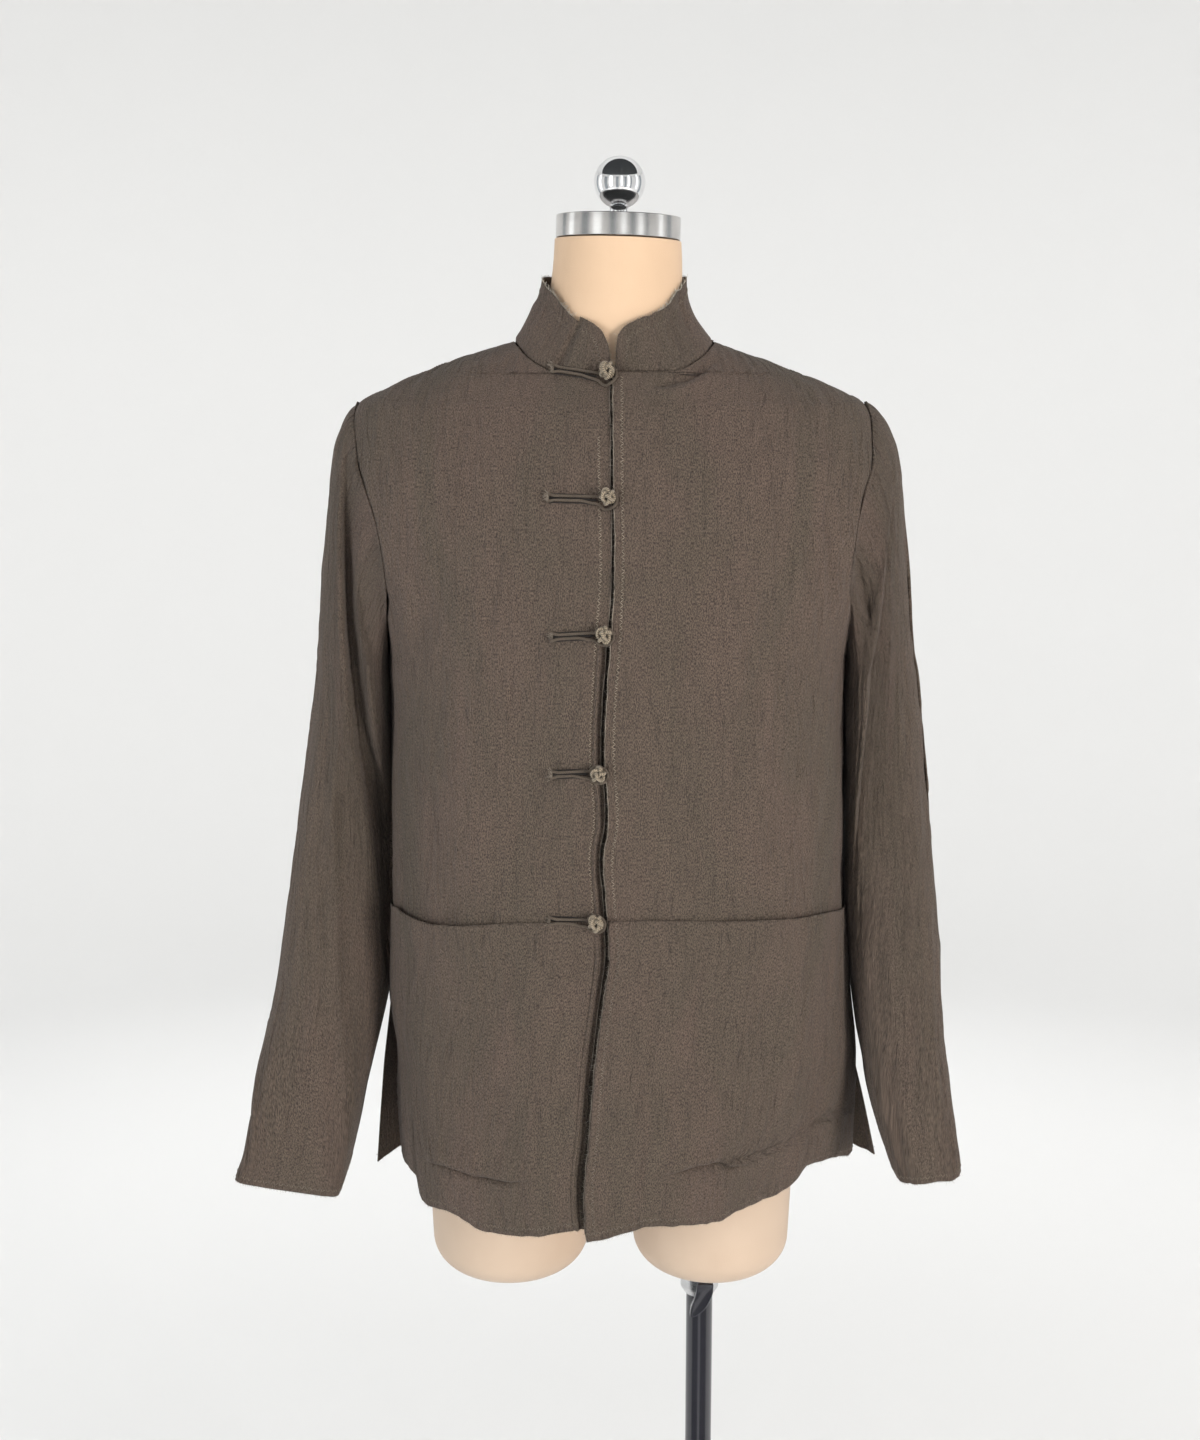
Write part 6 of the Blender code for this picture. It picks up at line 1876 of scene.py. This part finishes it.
# %% Rows of stitches
RIGHT_ROW, LEFT_ROW, HEM_ROW, CUFF_ROW, COLLAR_ROW = 0.0068, 0.0118, 0.0048, 0.0050, 0.0090
MOUTH_HEIGHT = 1.0770
stitch_paths = {
    "front_right": [front_row("front_right", RIGHT, RIGHT_ROW, MOUTH_HEIGHT + 0.002, 1.508)],
    "front_left": [front_row("front_left", LEFT, LEFT_ROW, MOUTH_HEIGHT + 0.002, 1.460)],
    "pocket_right": [front_row("pocket_right", RIGHT, RIGHT_ROW, 0.815, MOUTH_HEIGHT - 0.001),
                     inset_path("pocket_right", "bottom", HEM_ROW)],
    "pocket_left": [inset_path("pocket_left", "bottom", HEM_ROW)],
    "back": [inset_path("back", "bottom", HEM_ROW + 0.002)],
    "sleeve_left": [inset_path("sleeve_left", "top", CUFF_ROW)],
    "sleeve_right": [inset_path("sleeve_right", "top", CUFF_ROW)],
    "collar": [inset_path("collar", "top", COLLAR_ROW, lambda spots: spots[:, 2] > 1.512)],
}
for name, paths in stitch_paths.items():
    finish = SEAM_THREAD if name.startswith("front") else DULL_THREAD
    rows = lay_threads(name + "_stitches", STITCH_TREE, STITCH, paths, finish, 5,
                       Spacing=0.0022, Length=0.0032, Radius=0.00026, Lean=0.95, Lift=0.00012)
    keep(rows, [name])


# %% Raw edges
def one_way(path, downwards):
    """Turns a path round where needed, so that its threads point down, or up."""
    points, away = path
    closed = np.linalg.norm(points[-1] - points[0]) <= 1e-4
    ahead = points[8] - points[0] if closed else points[-1] - points[0]
    sideways = np.cross(away[4 if closed else len(away) // 2], ahead)
    if (sideways[2] < 0) != downwards:
        return points[::-1], away[::-1]
    return points, away


def raw_edge(name, edge, downwards):
    """The path of a panel's cut edge, in the middle of the cloth's thickness."""
    line, _, away = panel_edge(name, edge)
    return one_way((line - away * CLOTH_THICKNESS / 2, away), downwards)


right_edge = grids["front_right"][BODY_ROWS < FRONT_NECK_HEIGHT, 0]
right_away = outward("front_right")[BODY_ROWS < FRONT_NECK_HEIGHT, 0]
fray_paths = {
    "front_right": [(right_edge - right_away * 0.0004, right_away), raw_edge("front_right", "bottom", True)],
    "front_left": [raw_edge("front_left", "bottom", True)],
    "back": [raw_edge("back", "bottom", True)],
    "sleeve_left": [raw_edge("sleeve_left", "top", True)],
    "sleeve_right": [raw_edge("sleeve_right", "top", True)],
    "collar": [raw_edge("collar", "top", False)],
}
print("panels with raw edges:", len(fray_paths))

# %% Threads along the raw edges
left_fold = []
for row in grids["front_left"]:
    if 0.95 < row[5, 2] < 1.500:
        fold_at = opening_dip(row[5, 2]) - 0.0002
        left_fold.append([np.interp(-fold_at, -edge_gap(row), row[:, axis]) for axis in range(3)])
left_fold = np.array(left_fold)
yarn_paths = {"front_right": right_edge + right_away * 0.0001, "front_left": left_fold}
for name, paths in fray_paths.items():
    dense = lay_threads(name + "_raw_edge", FRAY_TREE, FRAY, paths, EDGE_THREAD, 11,
                        Spacing=0.0007, Length=0.0022, Radius=0.00010, Lean=1.45, Lift=0.0)
    pale = lay_threads(name + "_frays", FRAY_TREE, FRAY, paths, FRAY_THREAD, 23,
                       Spacing=0.0042, Length=0.0042, Radius=0.00009, Lean=1.30, Lift=0.0003)
    made = [dense, pale]
    if name in yarn_paths:
        path = yarn_paths[name]
        path = path + 0.00022 * np.stack([waver(path[:, 2], 0.003, seed) for seed in (61, 62, 63)], 1)
        made.append(tube("yarn", path, 0.00036, EDGE_THREAD, False, 6, (0, 0, 1)))
    keep(join_pieces(name + "_threads", made), [name])


# %% Frayed ends of the loops
for number, row in enumerate(FASTENERS, 1):
    height, x, slope, reach = row[:4]
    rise = np.linspace(-0.0034, 0.0034, 9)
    end_x, end_height = x - reach + 0.0016, height + slope * (reach - 0.008)
    ends = cloth_front(end_x + 0 * rise, end_height + rise, 0.0020 + 0 * rise)
    away = np.array((0.0, -1.0, 0.0))
    tuft = lay_threads(f"loop_{number}_tuft", FRAY_TREE, FRAY, [(ends, away)], EDGE_THREAD, 30 + number,
                       Spacing=0.00028, Length=0.0060, Radius=0.00030, Lean=1.50, Lift=0.0006)
    keep(tuft, [f"loop_{number}"])

# %% Frays at the collar's corners
collar_line, _, collar_away = panel_edge("collar", "top")
in_front = collar_line[:, 1] < -0.012
for side in (LEFT, RIGHT):
    frayed = in_front & (side * collar_line[:, 0] > 0.034) & (side * collar_line[:, 0] < 0.060)
    path = (collar_line[frayed] - collar_away[frayed] * 0.0006, collar_away[frayed])
    name = f"collar_{SIDE_NAMES[side]}_frays"
    tuft = lay_threads(name, FRAY_TREE, FRAY, [one_way(path, False)], FRAY_THREAD, 40 + side,
                       Spacing=0.0010, Length=0.0052, Radius=0.00020, Lean=1.30, Lift=0.0002)
    keep(tuft, ["collar"])
for pattern in (STITCH, FRAY):
    bpy.data.objects.remove(pattern)


# %% [markdown]
# ## The room, the light and the camera
#
# The floor curves up into a wall all round, so no line shows behind the form from any side. Two
# wide soft lamps, one at each side of the front, light the cloth, and a weak one fills its back.
# Small lamps that face outwards light only the wall. None of the lamps shows in the chrome: plain
# cards, which only shiny things can see, stand for the room's windows and curtains instead.

# %% The pale room
def make_room():
    """The floor with its curved wall, and a flat lid that the camera looks through from above."""
    material, tree, shader = new_material("pale_room", 0.9, Base_Color=(0.830, 0.832, 0.830, 1),
                                          Specular_IOR_Level=0.1)
    floor_radius, wall_height, bend = 3.2, 3.4, 1.6
    profile = [(0.02, 0.0), (1.0, 0.0), (2.0, 0.0), (floor_radius, 0.0)]
    bends = np.radians(np.linspace(6, 90, 15))
    profile += [(floor_radius + bend * math.sin(t), bend - bend * math.cos(t)) for t in bends]
    profile += [(floor_radius + bend, wall_height)]
    turn = np.arange(96) / 96 * math.tau
    rings = np.array([np.stack([r * np.cos(turn), r * np.sin(turn), 0 * turn + z], 1) for r, z in profile])
    mesh = bpy.data.meshes.new("room_lid")
    mesh.from_pydata(rings[-1].tolist(), [], [tuple(range(len(turn)))])
    mesh.materials.append(material)
    lid = place_in_scene("room_lid", mesh)
    lid.visible_camera = False
    return skin_rings("room", rings, material, capped=False), lid


for part in make_room():
    part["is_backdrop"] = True
    print(part.name, "faces:", len(part.data.polygons))


# %% Lamps
LAMPS = (                           # name, place, target, width, height, power, colour
    ("left_window", (-2.60, -2.25, 1.35), (0.0, 0.0, 1.12), 0.9, 1.5, 67, (0.94, 0.975, 1.0)),
    ("right_window", (2.20, -2.65, 1.35), (0.0, 0.0, 1.12), 0.9, 1.5, 103, (1.0, 0.957, 0.915)),
    ("back_fill", (0.0, 2.90, 1.90), (0.0, 0.0, 1.10), 1.8, 1.2, 11, (0.97, 0.98, 1.0)),
)
WASHERS, WASHER_POWER = 8, 7.1      # lamps that face outwards, the strongest behind the form
WASHER_SHARE = 0.26                 # what the ones in front keep of that power
WASHER_DISTANCE, WASHER_HEIGHT, WALL_DISTANCE = 1.9, 1.6, 4.8


def aim(thing, place, target):
    """Puts a lamp somewhere and turns it towards its target."""
    thing.location = place
    direction = Vector(target) - Vector(place)
    thing.rotation_euler = direction.to_track_quat("-Z", "Y").to_euler()


def make_lamp(name, place, target, width, height, power, colour=(1, 1, 1)):
    """A soft rectangular lamp that neither the camera nor shiny things can see."""
    lamp = bpy.data.lights.new(name, "AREA")
    lamp.shape, lamp.size, lamp.size_y = "RECTANGLE", width, height
    lamp.energy, lamp.color = power, colour
    thing = place_in_scene(name, lamp)
    aim(thing, place, target)
    thing.visible_camera = thing.visible_glossy = False


for row in LAMPS:
    make_lamp(*row)
for number in range(WASHERS):
    turn = math.tau * (number + 0.5) / WASHERS
    out = Vector((math.cos(turn), math.sin(turn), 0))
    power = WASHER_POWER * (WASHER_SHARE + (1 - WASHER_SHARE) * max(0, out.y))
    place = tuple(out * WASHER_DISTANCE + Vector((0, 0, WASHER_HEIGHT)))
    make_lamp(f"wall_washer_{number}", place, tuple(out * WALL_DISTANCE), 1.2, 0.5, power)
print("lamps:", len(bpy.data.lights))

# %% The room's own light
world = bpy.data.worlds.new("room_light")
world.use_nodes = True
background = world.node_tree.nodes["Background"]
background.inputs["Color"].default_value = (0.90, 0.95, 1.0, 1)
background.inputs["Strength"].default_value = 0.33
bpy.context.scene.world = world
print("strength of the light from all round:", round(background.inputs["Strength"].default_value, 2))

# %% Cards that only shiny things show
# Each card: name, degrees round from the front, width in degrees, low, high, distance, shade, glow.
CARDS = (
    ("curtain_1", -118, 12, 0.2, 2.7, 3.0, 0.32, 0.0),
    ("window_1", -96, 12, 0.5, 2.9, 2.9, 0.80, 0.75),
    ("curtain_2", -64, 16, 0.2, 2.7, 3.0, 0.32, 0.0),
    ("window_2", -40, 16, 0.6, 2.9, 2.9, 0.80, 0.75),
    ("curtain_3", -11, 12, 0.2, 2.7, 3.0, 0.32, 0.0),
    ("window_3", 9, 9, 0.6, 2.9, 2.9, 0.80, 0.75),
    ("curtain_4", 26, 10, 0.2, 2.7, 3.0, 0.32, 0.0),
    ("window_4", 41, 9, 0.6, 2.9, 2.9, 0.80, 0.75),
    ("curtain_5", 53, 6, 0.2, 2.7, 3.0, 0.32, 0.0),
    ("window_5", 84, 10, 0.5, 2.9, 2.9, 0.80, 0.75),
    ("curtain_6", 106, 14, 0.2, 2.7, 3.0, 0.32, 0.0),
)
CEILING, ABOVE_FLOOR = 3.1, 0.02    # heights of the dark cards overhead and over the floor


def card(name, corners, shade, glow=0.0):
    """A flat card that shows in shiny things and is seen by nothing else."""
    material, tree, shader = new_material(
        name + "_face", 0.9, Base_Color=(0.86 * shade, 0.94 * shade, shade, 1),
        Emission_Color=(1.0, 0.97, 0.92, 1), Emission_Strength=glow)
    mesh = bpy.data.meshes.new(name)
    mesh.from_pydata(corners, [], [tuple(range(len(corners)))])
    mesh.materials.append(material)
    thing = place_in_scene(name, mesh)
    thing.visible_camera = thing.visible_diffuse = thing.visible_shadow = False
    thing.visible_transmission = thing.visible_volume_scatter = False
    thing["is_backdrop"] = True


def at_turn(degrees, distance, height):
    """A point by degrees round from the front, distance from the middle and height."""
    angle = math.radians(degrees)
    return (distance * math.sin(angle), -distance * math.cos(angle), height)


for name, turn, width, low, high, distance, shade, glow in CARDS:
    left, right = turn - width / 2, turn + width / 2
    corners = ((left, low), (right, low), (right, high), (left, high))
    card(name, [at_turn(degrees, distance, height) for degrees, height in corners], shade, glow)
ceiling_front = [at_turn(turn, 2.9, CEILING) for turn in range(-96, 97, 16)]
ceiling_back = [(x, 0.76 - 0.055 * x ** 2, CEILING) for x in (1.8, 0.9, 0.0, -0.9, -1.8)]
card("ceiling", ceiling_front + ceiling_back, 0.03)
for name, start, end in (("floor_left", -64, -8), ("floor_right", 10, 64)):
    inner = [at_turn(turn, 0.35, ABOVE_FLOOR) for turn in (end, start)]
    outer = [at_turn(turn, 2.7, ABOVE_FLOOR) for turn in (start, (start + end) / 2, end)]
    card(name, inner + outer, 0.05)
print("cards:", len(CARDS) + 3)

# %% Camera
camera = place_in_scene("camera", bpy.data.cameras.new("camera"))
camera.data.lens, camera.data.sensor_width = 48.875, 36.0
camera.location = (-0.012, -1.65, 1.50)
camera.rotation_euler = (math.radians(80.3), 0, 0)
bpy.context.scene.camera = camera
bpy.context.scene.view_settings.view_transform = "Standard"
print("camera at", tuple(round(part, 3) for part in camera.location))

# %% Sizes, and the end
total = sum(len(face.vertices) - 2 for thing in pieces.values() for face in thing.data.polygons)
print("pieces:", len(pieces), "triangles:", total)
{"before": [list(corner) for corner in first_bounds], "after": [list(corner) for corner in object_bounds()]}
